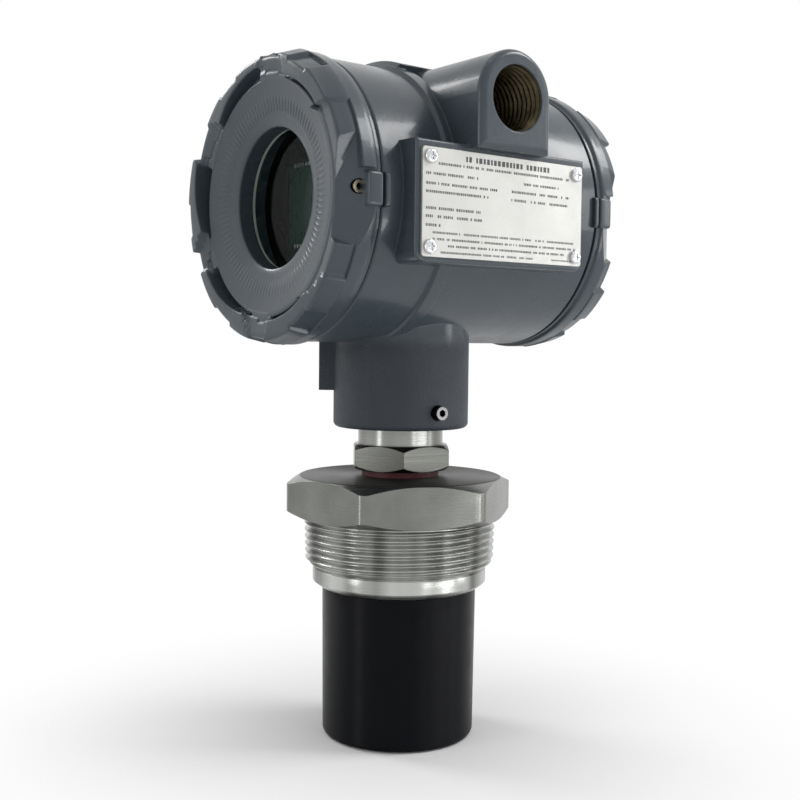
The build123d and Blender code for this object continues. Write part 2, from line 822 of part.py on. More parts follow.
lock_screw_tip = collar_thread_radius + turn_gap
lock_screw_end = lock_flat_inner + lock_screw_set * lock_flat_run / lock_flat_rise - turn_gap
with BuildPart() as front_lock_screw:
    with BuildSketch(side_plane.offset(lock_screw_tip)):
        with Locations((front_face + lock_screw_set, head_axis)):
            Circle(lock_screw_radius)
    extrude(amount=lock_screw_end - lock_screw_tip)
    with BuildSketch(side_plane.offset(lock_screw_end)):
        with Locations((front_face + lock_screw_set, head_axis)):
            RegularPolygon(lock_screw_socket, 6)
    extrude(amount=-2 * lock_screw_socket, mode=Mode.SUBTRACT)

with BuildPart() as front_cover_ring:
    with BuildSketch(head_plane):
        with Locations((front_rim - cover_ring_section + cover_ring_squeeze,
                        thread_bore + seat_gap + cover_ring_section)):
            Circle(cover_ring_section)
    revolve(axis=head_line)

with BuildPart() as window_gasket:
    with BuildSketch(cross_plane.offset(-glass_front)):
        Circle(glass_radius)
        Circle(window_radius + 2 * seat_gap, mode=Mode.SUBTRACT)
    extrude(amount=gasket_thickness)

with BuildPart() as window_glass:
    with BuildSketch(cross_plane.offset(-glass_back)):
        Circle(glass_radius)
    extrude(amount=glass_thickness)

# Threaded ring that holds the glass, with two spanner slots.
with BuildPart() as window_retaining_ring:
    with BuildSketch(cross_plane.offset(-glass_back - glass_ring_height)):
        Circle(glass_ring_radius)
        Circle(window_radius + 2 * turn_gap, mode=Mode.SUBTRACT)
    extrude(amount=glass_ring_height)
    with BuildSketch(cross_plane.offset(-glass_back - glass_ring_height)):
        Rectangle(glass_ring_slot, 3 * glass_ring_radius)
    extrude(amount=glass_ring_height / 2, mode=Mode.SUBTRACT)

# Rear cover: the same outside without a window, and a shallow hollow inside.
with BuildPart() as rear_cover:
    with BuildSketch(head_plane):
        with BuildLine():
            Polyline(
                (rear_face, 0),
                (rear_face, lobe_radius - lobe_edge),
                (rear_face - lobe_edge_run, lobe_radius),
                (rear_face - lug_depth, lobe_radius),
                (rear_face - lug_depth, flange_radius),
                (rear_face - lug_depth - flange_depth, flange_radius),
                (rear_face - lug_depth - flange_depth - cover_edge, flange_radius - cover_edge),
                (rear_rim, flange_radius - cover_edge),
                (rear_rim, ring_seat),
                (rear_rim + cover_ring_seat, ring_seat),
                (rear_rim + cover_ring_seat, thread_bore),
                (body_rear + collar_length + 2 * turn_gap, thread_bore),
                (body_rear + collar_length + 2 * turn_gap, 0),
                close=True,
            )
        make_face()
    revolve(axis=head_line)
    for start, end, lift in lug_spans:
        with BuildSketch(cross_plane.offset(-rear_face - lift)):
            Circle(lug_radius)
            Circle(pocket_inner, mode=Mode.SUBTRACT)
            with BuildLine():
                Polyline(*wedge(start, end), close=True)
            make_face(mode=Mode.INTERSECT)
        extrude(amount=lug_depth + lift)
        with BuildSketch(cross_plane.offset(-rear_face - lift)):
            Circle(lug_radius)
            Circle(pocket_inner, mode=Mode.SUBTRACT)
            with BuildLine():
                Polyline(*wedge(start + lug_notch_start, end), close=True)
            make_face(mode=Mode.INTERSECT)
        extrude(amount=lug_lower, mode=Mode.SUBTRACT)
        with BuildSketch(cross_plane.offset(-rear_face - lift)):
            Circle(lug_radius + 1)
            Circle(lug_radius - lug_notch_depth, mode=Mode.SUBTRACT)
            with BuildLine():
                Polyline(*wedge(start + lug_notch_start, start + lug_notch_end), close=True)
            make_face(mode=Mode.INTERSECT)
        extrude(amount=lug_depth + lift, mode=Mode.SUBTRACT)
        first = start + pocket_trim
        last = end - 2 * pocket_trim
        with BuildSketch(cross_plane.offset(-rear_face - lift)):
            with BuildLine():
                Line(polar(pocket_inner, first), polar(pocket_outer, first))
                ThreePointArc(
                    polar(pocket_outer, first),
                    polar((pocket_inner + pocket_outer) / 2, (first + last) / 2),
                    polar(pocket_inner, last),
                )
                ThreePointArc(
                    polar(pocket_inner, last),
                    polar(pocket_inner, (first + last) / 2),
                    polar(pocket_inner, first),
                )
            make_face()
        extrude(amount=pocket_depth + lift, mode=Mode.SUBTRACT)
    with BuildSketch(head_plane):
        with BuildLine():
            Polyline(
                (rear_face + lug_reach + 1, lug_radius - lug_taper),
                (rear_face + lug_reach, lug_radius - lug_taper),
                (rear_face + lug_reach - lug_taper_run, lug_radius),
                (rear_face + lug_reach - lug_taper_run, lug_radius + 2),
                (rear_face + lug_reach + 1, lug_radius + 2),
                close=True,
            )
        make_face()
    revolve(axis=head_line, mode=Mode.SUBTRACT)
    with BuildSketch(Plane.XY.offset(head_axis - lock_flat_low)):
        with BuildLine():
            Polyline(
                (lock_flat_inner, rear_face + lug_reach),
                (lock_flat_inner, rear_face),
                (lock_flat_inner + lock_flat_run, rear_face - lock_flat_rise),
                (lug_radius + lock_flat_run, rear_face - lock_flat_rise),
                (lug_radius + lock_flat_run, rear_face + lug_reach),
                close=True,
            )
        make_face()
    extrude(amount=lock_flat_low + lock_flat_high, mode=Mode.SUBTRACT)
    with Locations((lock_block_middle, rear_rim + lock_block_length / 2, head_axis)):
        Box(lock_block_radius - lock_block_root, lock_block_length, lock_block_width)
    with BuildSketch(side_plane.offset(lock_hole_root)):
        with Locations((rear_face - lock_screw_set, head_axis)):
            Circle(lock_screw_radius + screw_gap)
    extrude(amount=lug_radius - lock_hole_root + 2, mode=Mode.SUBTRACT)

with BuildPart() as rear_lock_screw:
    with BuildSketch(side_plane.offset(lock_screw_tip)):
        with Locations((rear_face - lock_screw_set, head_axis)):
            Circle(lock_screw_radius)
    extrude(amount=lock_screw_end - lock_screw_tip)
    with BuildSketch(side_plane.offset(lock_screw_end)):
        with Locations((rear_face - lock_screw_set, head_axis)):
            RegularPolygon(lock_screw_socket, 6)
    extrude(amount=-2 * lock_screw_socket, mode=Mode.SUBTRACT)

with BuildPart() as rear_cover_ring:
    with BuildSketch(head_plane):
        with Locations((rear_rim + cover_ring_section - cover_ring_squeeze,
                        thread_bore + seat_gap + cover_ring_section)):
            Circle(cover_ring_section)
    revolve(axis=head_line)

# Sealed feedthrough in the partition, with its four pins.
feed_pin_stand = 3.0
with BuildPart() as partition_feedthrough:
    with BuildSketch(cross_plane.offset(-partition_rear)):
        with Locations(feed_point):
            Circle(feed_radius + feed_flange)
    extrude(amount=-feed_flange_height)
    with BuildSketch(cross_plane.offset(-partition_rear)):
        with Locations(feed_point):
            Circle(feed_radius)
    extrude(amount=partition_thickness + 4 * seat_gap)
    with BuildSketch(cross_plane.offset(-partition_rear - feed_flange_height - feed_pin_stand)):
        with Locations(feed_point):
            with GridLocations(feed_pin_step, feed_pin_step, 2, 2):
                Circle(feed_pin_radius)
    extrude(amount=partition_thickness + feed_flange_height + feed_pin_stand + post_foot * 0.6)

# Main board with its larger parts, on short posts off the partition.
with BuildPart() as main_board:
    with BuildSketch(cross_plane.offset(-main_board_rear)):
        Circle(board_radius)
        with Locations(*post_points):
            Circle(post_bore, mode=Mode.SUBTRACT)
    extrude(amount=board_thickness)
    with BuildSketch(cross_plane.offset(-main_board_front)):
        with Locations((-board_radius * 0.15, -board_radius * 0.48)):
            Rectangle(board_radius * 0.48, board_radius * 0.4)
    extrude(amount=board_space * 0.85)
    with BuildSketch(cross_plane.offset(-main_board_front)):
        with Locations(
            (-board_radius * 0.33, board_radius * 0.15),
            (board_radius * 0.3, board_radius * 0.07),
        ):
            Rectangle(board_radius / 3, board_radius / 3)
        with Locations((board_radius * 0.07, board_radius * 0.6)):
            Rectangle(board_radius * 0.44, board_radius * 0.19)
    extrude(amount=board_space * 0.3)
    with BuildSketch(cross_plane.offset(-main_board_front)):
        with Locations(
            (board_radius * 0.44, -board_radius * 0.44),
            (board_radius * 0.7, -board_radius * 0.19),
        ):
            Circle(board_radius * 0.09)
    extrude(amount=board_space * 0.75)

with BuildPart() as display_board:
    with BuildSketch(cross_plane.offset(-display_board_rear)):
        Circle(board_radius)
        with Locations(*post_points):
            Circle(post_bore, mode=Mode.SUBTRACT)
    extrude(amount=board_thickness)

# Spacers between partition, main board and display board, three and three.
with BuildPart() as board_spacers:
    with BuildSketch(cross_plane.offset(-partition_front)):
        with Locations(*post_points):
            Circle(post_radius)
            Circle(post_bore, mode=Mode.SUBTRACT)
    extrude(amount=post_foot)
    with BuildSketch(cross_plane.offset(-main_board_front)):
        with Locations(*post_points):
            Circle(post_radius)
            Circle(post_bore, mode=Mode.SUBTRACT)
    extrude(amount=board_space)

# Display frame and pane, seen through the window.
screw_shank = post_bore - seat_gap * 1.5
bezel_well = 2.2
bezel_screw_head = 2.4
bezel_screw_height = 1.7
with BuildPart() as display_bezel:
    with BuildSketch(cross_plane.offset(-display_board_front)):
        Circle(bezel_radius)
        Rectangle(pane_width + 2 * seat_gap, pane_height + 2 * seat_gap, mode=Mode.SUBTRACT)
        with Locations(*post_points):
            Circle(post_bore, mode=Mode.SUBTRACT)
    extrude(amount=bezel_thickness)
    with BuildSketch(cross_plane.offset(-bezel_front)):
        with Locations(*post_points):
            Circle(bezel_screw_head + turn_gap)
    extrude(amount=-bezel_well, mode=Mode.SUBTRACT)

with BuildPart() as display_pane:
    with BuildSketch(cross_plane.offset(-display_board_front)):
        Rectangle(pane_width, pane_height)
    extrude(amount=bezel_thickness - pane_sink)

with BuildPart() as display_screws:
    with BuildSketch(cross_plane.offset(-bezel_front - bezel_well)):
        with Locations(*post_points):
            Circle(bezel_screw_head)
    extrude(amount=bezel_screw_height)
    with BuildSketch(cross_plane.offset(-bezel_front - bezel_well)):
        with Locations(*post_points):
            Circle(screw_shank)
    extrude(amount=-(partition_front - bezel_front))
    with BuildSketch(cross_plane.offset(-bezel_front - bezel_well + bezel_screw_height)):
        with Locations(*post_points):
            Rectangle(bezel_screw_head * 1.35, bezel_screw_head * 0.3)
    extrude(amount=-bezel_screw_height / 2, mode=Mode.SUBTRACT)

# Terminal block: barrier strip with screw wells facing the rear and wire mouths below.
block_rear = partition_rear + block_depth
terminal_points = [
    ((i - (terminal_count - 1) / 2) * terminal_step, terminal_rise) for i in range(terminal_count)
]
with BuildPart() as terminal_block:
    with BuildSketch(cross_plane.offset(-block_rear)):
        with Locations((0, -block_drop)):
            RectangleRounded(block_width, block_height, block_corner)
    extrude(amount=block_depth)
    with BuildSketch(cross_plane.offset(-block_rear)):
        with Locations(*terminal_points):
            Rectangle(terminal_well, terminal_well)
    extrude(amount=terminal_well_depth, mode=Mode.SUBTRACT)
    with BuildSketch(Plane.XY.offset(head_axis - block_drop - block_height / 2)):
        with Locations((0, block_rear - block_depth * 0.6)):
            with GridLocations(terminal_step, 1, terminal_count, 1):
                Rectangle(wire_mouth_width, wire_mouth_height)
    extrude(amount=block_height * 0.6, mode=Mode.SUBTRACT)
    with BuildSketch(cross_plane.offset(-block_rear)):
        with Locations(*terminal_fix_points):
            Circle(block_screw_bore)
    extrude(amount=block_depth, mode=Mode.SUBTRACT)
    with BuildSketch(cross_plane.offset(-block_rear)):
        with Locations(*terminal_fix_points):
            Circle(block_screw_head + turn_gap)
    extrude(amount=block_screw_well, mode=Mode.SUBTRACT)

terminal_screw_height = 2.0
with BuildPart() as terminal_screws:
    with BuildSketch(cross_plane.offset(-block_rear + terminal_well_depth)):
        with Locations(*terminal_points):
            Circle(terminal_screw_radius)
    extrude(amount=-terminal_screw_height)
    with BuildSketch(cross_plane.offset(-block_rear + terminal_well_depth - terminal_screw_height)):
        with Locations(*terminal_points):
            Rectangle(terminal_screw_radius * 1.9, terminal_screw_radius / 3)
    extrude(amount=terminal_screw_height * 0.45, mode=Mode.SUBTRACT)

block_screw_height = 2.0
block_screw_reach_in = partition_thickness * 0.55
with BuildPart() as terminal_block_screws:
    with BuildSketch(cross_plane.offset(-block_rear + block_screw_well)):
        with Locations(*terminal_fix_points):
            Circle(block_screw_head)
    extrude(amount=-block_screw_height)
    with BuildSketch(cross_plane.offset(-block_rear + block_screw_well)):
        with Locations(*terminal_fix_points):
            Circle(block_screw_bore - seat_gap * 1.5)
    extrude(amount=block_depth - block_screw_well + block_screw_reach_in)
    with BuildSketch(cross_plane.offset(-block_rear + block_screw_well - block_screw_height)):
        with Locations(*terminal_fix_points):
            Rectangle(block_screw_head * 1.5, block_screw_head * 0.27)
    extrude(amount=block_screw_height * 0.4, mode=Mode.SUBTRACT)

# Ground screw with its washer, on the partition.
washer_thickness = 1.0
ground_screw_height = 2.6
with BuildPart() as ground_washer:
    with BuildSketch(cross_plane.offset(-partition_rear)):
        with Locations(ground_point):
            RectangleRounded(ground_washer_width, ground_washer_width, washer_thickness)
            Circle(block_screw_bore + seat_gap, mode=Mode.SUBTRACT)
    extrude(amount=-washer_thickness)

ground_screw_foot = partition_rear + washer_thickness
with BuildPart() as ground_screw:
    with BuildSketch(cross_plane.offset(-ground_screw_foot)):
        with Locations(ground_point):
            Circle(ground_screw_radius)
    extrude(amount=-ground_screw_height)
    with BuildSketch(cross_plane.offset(-ground_screw_foot)):
        with Locations(ground_point):
            Circle(block_screw_bore - seat_gap * 1.5)
    extrude(amount=washer_thickness + block_screw_reach_in)
    with BuildSketch(cross_plane.offset(-ground_screw_foot - ground_screw_height)):
        with Locations(ground_point):
            Rectangle(ground_screw_radius * 1.5, ground_screw_radius * 0.27)
            Rectangle(ground_screw_radius * 0.27, ground_screw_radius * 1.5)
    extrude(amount=ground_screw_height * 0.45, mode=Mode.SUBTRACT)

housing_body.part.label = "housing_body"
export_step(housing_body.part, "parts/housing_body.step")

front_cover.part.label = "front_cover"
export_step(front_cover.part, "parts/front_cover.step")

window_gasket.part.label = "window_gasket"
export_step(window_gasket.part, "parts/window_gasket.step")

window_glass.part.label = "window_glass"
export_step(window_glass.part, "parts/window_glass.step")

window_retaining_ring.part.label = "window_retaining_ring"
export_step(window_retaining_ring.part, "parts/window_retaining_ring.step")

front_cover_ring.part.label = "front_cover_ring"
export_step(front_cover_ring.part, "parts/front_cover_ring.step")

front_lock_screw.part.label = "front_lock_screw"
export_step(front_lock_screw.part, "parts/front_lock_screw.step")

rear_cover.part.label = "rear_cover"
export_step(rear_cover.part, "parts/rear_cover.step")

rear_cover_ring.part.label = "rear_cover_ring"
export_step(rear_cover_ring.part, "parts/rear_cover_ring.step")

rear_lock_screw.part.label = "rear_lock_screw"
export_step(rear_lock_screw.part, "parts/rear_lock_screw.step")

nameplate.part.label = "nameplate"
export_step(nameplate.part, "parts/nameplate.step")

nameplate_screws.part.label = "nameplate_screws"
export_step(nameplate_screws.part, "parts/nameplate_screws.step")

conduit_plug.part.label = "conduit_plug"
export_step(conduit_plug.part, "parts/conduit_plug.step")

neck_lock_screw.part.label = "neck_lock_screw"
export_step(neck_lock_screw.part, "parts/neck_lock_screw.step")

neck_ring.part.label = "neck_ring"
export_step(neck_ring.part, "parts/neck_ring.step")

stem_adapter.part.label = "stem_adapter"
export_step(stem_adapter.part, "parts/stem_adapter.step")

stem_seal.part.label = "stem_seal"
export_step(stem_seal.part, "parts/stem_seal.step")

mounting_plug.part.label = "mounting_plug"
export_step(mounting_plug.part, "parts/mounting_plug.step")

transducer_cup.part.label = "transducer_cup"
export_step(transducer_cup.part, "parts/transducer_cup.step")

transducer_ring.part.label = "transducer_ring"
export_step(transducer_ring.part, "parts/transducer_ring.step")

transducer_clamp_ring.part.label = "transducer_clamp_ring"
export_step(transducer_clamp_ring.part, "parts/transducer_clamp_ring.step")

matching_layer.part.label = "matching_layer"
export_step(matching_layer.part, "parts/matching_layer.step")

piezo_disc.part.label = "piezo_disc"
export_step(piezo_disc.part, "parts/piezo_disc.step")

backing_block.part.label = "backing_block"
export_step(backing_block.part, "parts/backing_block.step")

temperature_probe.part.label = "temperature_probe"
export_step(temperature_probe.part, "parts/temperature_probe.step")

partition_feedthrough.part.label = "partition_feedthrough"
export_step(partition_feedthrough.part, "parts/partition_feedthrough.step")

main_board.part.label = "main_board"
export_step(main_board.part, "parts/main_board.step")

display_board.part.label = "display_board"
export_step(display_board.part, "parts/display_board.step")

board_spacers.part.label = "board_spacers"
export_step(board_spacers.part, "parts/board_spacers.step")

display_bezel.part.label = "display_bezel"
export_step(display_bezel.part, "parts/display_bezel.step")

display_pane.part.label = "display_pane"
export_step(display_pane.part, "parts/display_pane.step")

display_screws.part.label = "display_screws"
export_step(display_screws.part, "parts/display_screws.step")

terminal_block.part.label = "terminal_block"
export_step(terminal_block.part, "parts/terminal_block.step")

terminal_screws.part.label = "terminal_screws"
export_step(terminal_screws.part, "parts/terminal_screws.step")

terminal_block_screws.part.label = "terminal_block_screws"
export_step(terminal_block_screws.part, "parts/terminal_block_screws.step")

ground_washer.part.label = "ground_washer"
export_step(ground_washer.part, "parts/ground_washer.step")

ground_screw.part.label = "ground_screw"
export_step(ground_screw.part, "parts/ground_screw.step")
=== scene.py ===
import json
import math
from typing import NamedTuple

import bmesh
import bpy
import numpy as np
from mathutils import Matrix, Vector


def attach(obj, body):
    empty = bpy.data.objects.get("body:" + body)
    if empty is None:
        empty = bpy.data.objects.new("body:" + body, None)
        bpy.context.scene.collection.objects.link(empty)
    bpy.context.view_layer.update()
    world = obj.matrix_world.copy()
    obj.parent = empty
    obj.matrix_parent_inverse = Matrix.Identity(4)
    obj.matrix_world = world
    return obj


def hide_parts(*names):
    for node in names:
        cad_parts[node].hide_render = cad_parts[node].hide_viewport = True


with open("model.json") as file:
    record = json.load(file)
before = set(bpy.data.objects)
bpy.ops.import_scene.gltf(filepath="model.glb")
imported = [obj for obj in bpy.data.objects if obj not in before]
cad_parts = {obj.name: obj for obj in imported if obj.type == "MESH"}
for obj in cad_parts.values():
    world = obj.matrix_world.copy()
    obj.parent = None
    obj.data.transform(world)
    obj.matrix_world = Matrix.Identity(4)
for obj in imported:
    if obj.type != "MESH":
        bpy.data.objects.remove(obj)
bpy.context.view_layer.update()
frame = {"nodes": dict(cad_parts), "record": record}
nodes = frame["nodes"]
MM = 0.001
TAU = 2 * math.pi

# Heights and faces of the sensor in millimetres, in the frame of its solids
COLLAR_FOOT = 46.9
COLLAR_TOP = 53.0
HEX_FOOT = 68.6
HEX_TOP = 81.6
NUT_FOOT = 83.6
NUT_TOP = 91.5
HEAD_AXIS = 164.5
CONDUIT_AXIS = 191.4
FRONT_FACE = -50.0
REAR_FACE = 55.0


# Materials

class Nodes:
    """Short calls for the nodes of one node tree."""

    def __init__(self, tree):
        self.tree = tree

    def node(self, kind, **settings):
        made = self.tree.nodes.new(kind)
        for key, value in settings.items():
            setattr(made, key, value)
        return made

    def join(self, source, target):
        self.tree.links.new(source, target)

    def math(self, operation, a, b):
        """One sum of two values, each a number or a socket."""
        made = self.node("ShaderNodeMath", operation=operation)
        for slot, value in enumerate((a, b)):
            if isinstance(value, (int, float)):
                made.inputs[slot].default_value = value
            else:
                self.join(value, made.inputs[slot])
        return made.outputs[0]

    def ease(self, value, low, high, out_low=0.0, out_high=1.0):
        """A smooth step from out_low to out_high while the value goes from low to high."""
        made = self.node("ShaderNodeMapRange", interpolation_type="SMOOTHSTEP")
        self.join(value, made.inputs["Value"])
        made.inputs["From Min"].default_value = low
        made.inputs["From Max"].default_value = high
        made.inputs["To Min"].default_value = out_low
        made.inputs["To Max"].default_value = out_high
        return made.outputs["Result"]

    def seen_rays(self):
        """1 for what is seen directly, in gloss or through glass, and 0 for light on matte surfaces."""
        path = self.node("ShaderNodeLightPath")
        seen = self.math("MAXIMUM", path.outputs["Is Camera Ray"], path.outputs["Is Glossy Ray"])
        return self.math("MAXIMUM", seen, path.outputs["Is Transmission Ray"])


class Finish(Nodes):
    """A node material with one Principled shader, on Object coordinates."""

    def __init__(self, name, color, rough, metal=0.0):
        self.material = bpy.data.materials.new(name)
        self.material.use_nodes = True
        super().__init__(self.material.node_tree)
        self.shader = self.tree.nodes["Principled BSDF"]
        self.set("Base Color", (*color, 1.0))
        self.set("Roughness", rough)
        self.set("Metallic", metal)
        self.place = self.node("ShaderNodeTexCoord").outputs["Object"]

    def set(self, socket, value):
        self.shader.inputs[socket].default_value = value

    def feed(self, source, socket):
        self.join(source, self.shader.inputs[socket])

    def noise(self, scale, detail=3.0, rough=0.5, place=None):
        made = self.node("ShaderNodeTexNoise")
        made.inputs["Scale"].default_value = scale
        made.inputs["Detail"].default_value = detail
        made.inputs["Roughness"].default_value = rough
        self.join(place or self.place, made.inputs["Vector"])
        return made.outputs["Fac"]

    def stretched(self, scale):
        """Object coordinates scaled by its own factor along each axis."""
        made = self.node("ShaderNodeMapping")
        made.inputs["Scale"].default_value = scale
        self.join(self.place, made.inputs["Vector"])
        return made.outputs["Vector"]

    def height(self):
        made = self.node("ShaderNodeSeparateXYZ")
        self.join(self.place, made.inputs[0])
        return made.outputs["Z"]

    def vary(self, noise, low, high):
        """A value that follows a noise between two limits."""
        return self.ease(noise, 0.3, 0.7, low, high)

    def between(self, value, low, high):
        """1 from the low pair of limits to the high pair and 0 beyond them, with a smooth step at each."""
        return self.math("MULTIPLY", self.ease(value, *low), self.ease(value, *high, 1.0, 0.0))

    def ramp(self, value, stops):
        made = self.node("ShaderNodeValToRGB")
        while len(made.color_ramp.elements) < len(stops):
            made.color_ramp.elements.new(0.5)
        for element, (at, color) in zip(made.color_ramp.elements, stops):
            element.position = at
            element.color = (*color, 1.0)
        self.join(value, made.inputs["Fac"])
        return made.outputs["Color"]

    def tint(self, noise, dark, light):
        """A colour that follows a noise between two colours."""
        return self.ramp(noise, ((0.3, dark), (0.7, light)))

    def mix(self, share, a, b):
        made = self.node("ShaderNodeMix", data_type="RGBA")
        self.join(share, made.inputs[0])
        for slot, value in ((6, a), (7, b)):
            if isinstance(value, tuple):
                made.inputs[slot].default_value = (*value, 1.0)
            else:
                self.join(value, made.inputs[slot])
        return made.outputs[2]

    def bump(self, height, distance, strength, normal):
        made = self.node("ShaderNodeBump")
        made.inputs["Strength"].default_value = strength
        made.inputs["Distance"].default_value = distance
        self.join(height, made.inputs["Height"])
        self.join(normal, made.inputs["Normal"])
        return made.outputs["Normal"]

    def soft_edges(self, radius, samples=6):
        made = self.node("ShaderNodeBevel", samples=samples)
        made.inputs["Radius"].default_value = radius
        return made.outputs["Normal"]

    def across_turning(self):
        """The direction across tool marks turned about Z: upright on a barrel, outwards on a flat top."""
        scaled = self.node("ShaderNodeVectorMath", operation="MULTIPLY_ADD")
        self.join(self.place, scaled.inputs[0])
        scaled.inputs[1].default_value = (30, 30, 0)
        scaled.inputs[2].default_value = (0, 0, 1)
        return scaled.outputs["Vector"]


def enamel():
    """Dark slate enamel over cast metal: soft uneven gloss, fine peel, a sandier skin on the neck."""
    neck_top = (0.121, 0.127)
    f = Finish("head_enamel", (0.042, 0.055, 0.066), 0.3)
    f.set("Specular IOR Level", 0.3)
    f.set("Coat Roughness", 0.07)
    neck = f.ease(f.height(), *neck_top, 1.0, 0.0)
    f.feed(f.math("SUBTRACT", 0.2, f.math("MULTIPLY", neck, 0.19)), "Coat Weight")
    slate = f.tint(f.noise(38, 4, 0.6), (0.036, 0.049, 0.060), (0.047, 0.061, 0.073))
    f.feed(f.mix(neck, slate, (0.029, 0.036, 0.045)), "Base Color")
    gloss = f.vary(f.noise(70, 3, 0.55), 0.22, 0.34)
    f.feed(f.math("ADD", gloss, f.math("MULTIPLY", neck, 0.26)), "Roughness")
    swell = f.bump(f.noise(55, 2, 0.4), 0.0006, 0.3, f.soft_edges(0.0007))
    peel = f.bump(f.noise(620, 2, 0.5), 0.00006, 0.5, swell)
    grit = f.math("MULTIPLY", f.noise(1300, 3, 0.75), neck)
    f.feed(f.bump(grit, 0.0003, 1.0, peel), "Normal")
    return f.material


def step(height, below, above):
    """Limits in metres a little below and above a height in millimetres."""
    return (height - below) * MM, (height + above) * MM


def turned_steel():
    """Stainless steel turned about Z: faint rings of tool marks and gloss drawn out across them.

    The collar, the thread and the stem carry upright bands of painted highlight, the brightest below the
    large hexagon. The hexagons are an even grey; the small one is painted darker as shade, and the large
    one's top is painted dark as shade and is dull.
    """
    f = Finish("bright_steel", (0.2, 0.205, 0.19), 0.3, 1.0)
    f.set("Anisotropic", 0.7)
    f.feed(f.across_turning(), "Tangent")
    height = f.height()
    rings = f.noise(1.0, 3, 0.5, f.stretched((40, 40, 4200)))
    bands = f.noise(1.0, 2, 0.5, f.stretched((75, 75, 0.0)))
    even = f.tint(f.noise(60, 3, 0.55), (0.15, 0.155, 0.143), (0.215, 0.222, 0.208))
    # Painted highlight: light and dark upright bands of colour stand in for lamps reflected in the steel
    turned = f.ramp(bands, (
        (0.36, (0.17, 0.172, 0.16)),
        (0.5, (0.42, 0.43, 0.41)),
        (0.62, (0.52, 0.53, 0.51)),
    ))
    # The collar and the thread below the large hexagon take the painted highlight bands in full, and the
    # stem takes a share
    below = f.ease(height, *step(HEX_FOOT, 0.4, 0.1), 1.0, 0.0)
    stem = f.ease(height, *step(NUT_TOP, 0.2, 0.2))
    base = f.mix(f.math("MAXIMUM", below, f.math("MULTIPLY", stem, 0.3)), even, turned)
    # Painted shade: the small hexagon under the head takes a darker colour
    shaded_nut = f.between(height, step(NUT_FOOT, 0.2, 0.0), step(NUT_TOP, 0.1, 0.2))
    base = f.mix(shaded_nut, base, (0.085, 0.087, 0.08))
    # Painted shade: the large hexagon's top under the head takes a near black colour, and it is also made
    # duller
    top = f.between(height, step(HEX_TOP, 0.35, -0.1), step(NUT_FOOT, 0.2, 0.1))
    f.feed(f.mix(top, base, (0.035, 0.035, 0.033)), "Base Color")
    f.feed(f.math("ADD", f.vary(rings, 0.25, 0.32), f.math("MULTIPLY", top, 0.2)), "Roughness")
    f.feed(f.bump(rings, 0.000012, 0.3, f.soft_edges(0.0003)), "Normal")
    return f.material


def turned_plastic():
    """Black plastic turned about Z: fine rings draw its gloss out into upright streaks."""
    f = Finish("black_plastic", (0.001, 0.0013, 0.0022), 0.4)
    f.set("Specular IOR Level", 0.1)
    f.set("Anisotropic", 0.9)
    f.feed(f.across_turning(), "Tangent")
    f.feed(f.tint(f.noise(60, 3, 0.55), (0.0009, 0.0012, 0.0022), (0.0013, 0.0017, 0.0032)), "Base Color")
    f.feed(f.vary(f.noise(200, 3, 0.5), 0.38, 0.44), "Roughness")
    rings = f.noise(1.0, 2, 0.5, f.stretched((30, 30, 3000)))
    f.feed(f.bump(rings, 0.00001, 0.3, f.soft_edges(0.0004)), "Normal")
    return f.material


def plain(name, color, rough, metal, grain, depth, spread=0.12, shine=0.5):
    """One colour that drifts by a share of itself, with its own grain in gloss and height."""
    f = Finish(name, color, rough, metal)
    f.set("Specular IOR Level", shine)
    low = tuple(c * (1 - spread) for c in color)
    high = tuple(c * (1 + spread) for c in color)
    f.feed(f.tint(f.noise(90, 3, 0.55), low, high), "Base Color")
    fine = f.noise(grain, 3, 0.6)
    f.feed(f.vary(fine, rough * 0.8, rough * 1.25), "Roughness")
    f.feed(f.bump(fine, depth, 0.5, f.soft_edges(0.0002, 4)), "Normal")
    return f.material


def set_screw(name, color, way, face):
    """A set screw whose socket is painted near black as shade: all that lies deeper along its way than its
    outer face.
    """
    f = Finish(name, color, 0.2, 1.0)
    along = f.node("ShaderNodeVectorMath", operation="DOT_PRODUCT")
    f.join(f.place, along.inputs[0])
    along.inputs[1].default_value = way
    shown = f.ease(along.outputs["Value"], (face - 0.6) * MM, (face - 0.3) * MM)
    bright = f.mix(f.vary(f.noise(500, 3, 0.6), 0.8, 1.0), tuple(c * 0.6 for c in color), color)
    # Painted shade: inside the socket the colour is near black
    f.feed(f.mix(shown, (0.006, 0.006, 0.005), bright), "Base Color")
    f.feed(f.math("SUBTRACT", 0.6, f.math("MULTIPLY", shown, 0.35)), "Roughness")
    f.feed(f.soft_edges(0.00015, 4), "Normal")
    return f.material


def window_pane():
    """Clear toughened glass, slightly green in its depth."""
    f = Finish("window_glass", (0.86, 0.95, 0.91), 0.0)
    f.set("Transmission Weight", 1.0)
    f.set("IOR", 1.12)
    f.feed(f.ease(f.noise(40, 2, 0.5), 0.2, 0.8, 0.0, 0.02), "Roughness")
    return f.material


def yellowed_metal():
    """Bare cast metal under a thin yellowish coat, its colour kept dark all over as painted shade inside the
    bore.
    """
    f = Finish("yellowed_metal", (0.2, 0.17, 0.1), 0.35, 0.9)
    # Painted shade: both colours of the tint are kept dark for the shade in the bore
    f.feed(f.tint(f.noise(160, 4, 0.6), (0.03, 0.024, 0.012), (0.085, 0.07, 0.04)), "Base Color")
    f.feed(f.vary(f.noise(700, 3, 0.6), 0.25, 0.45), "Roughness")
    return f.material


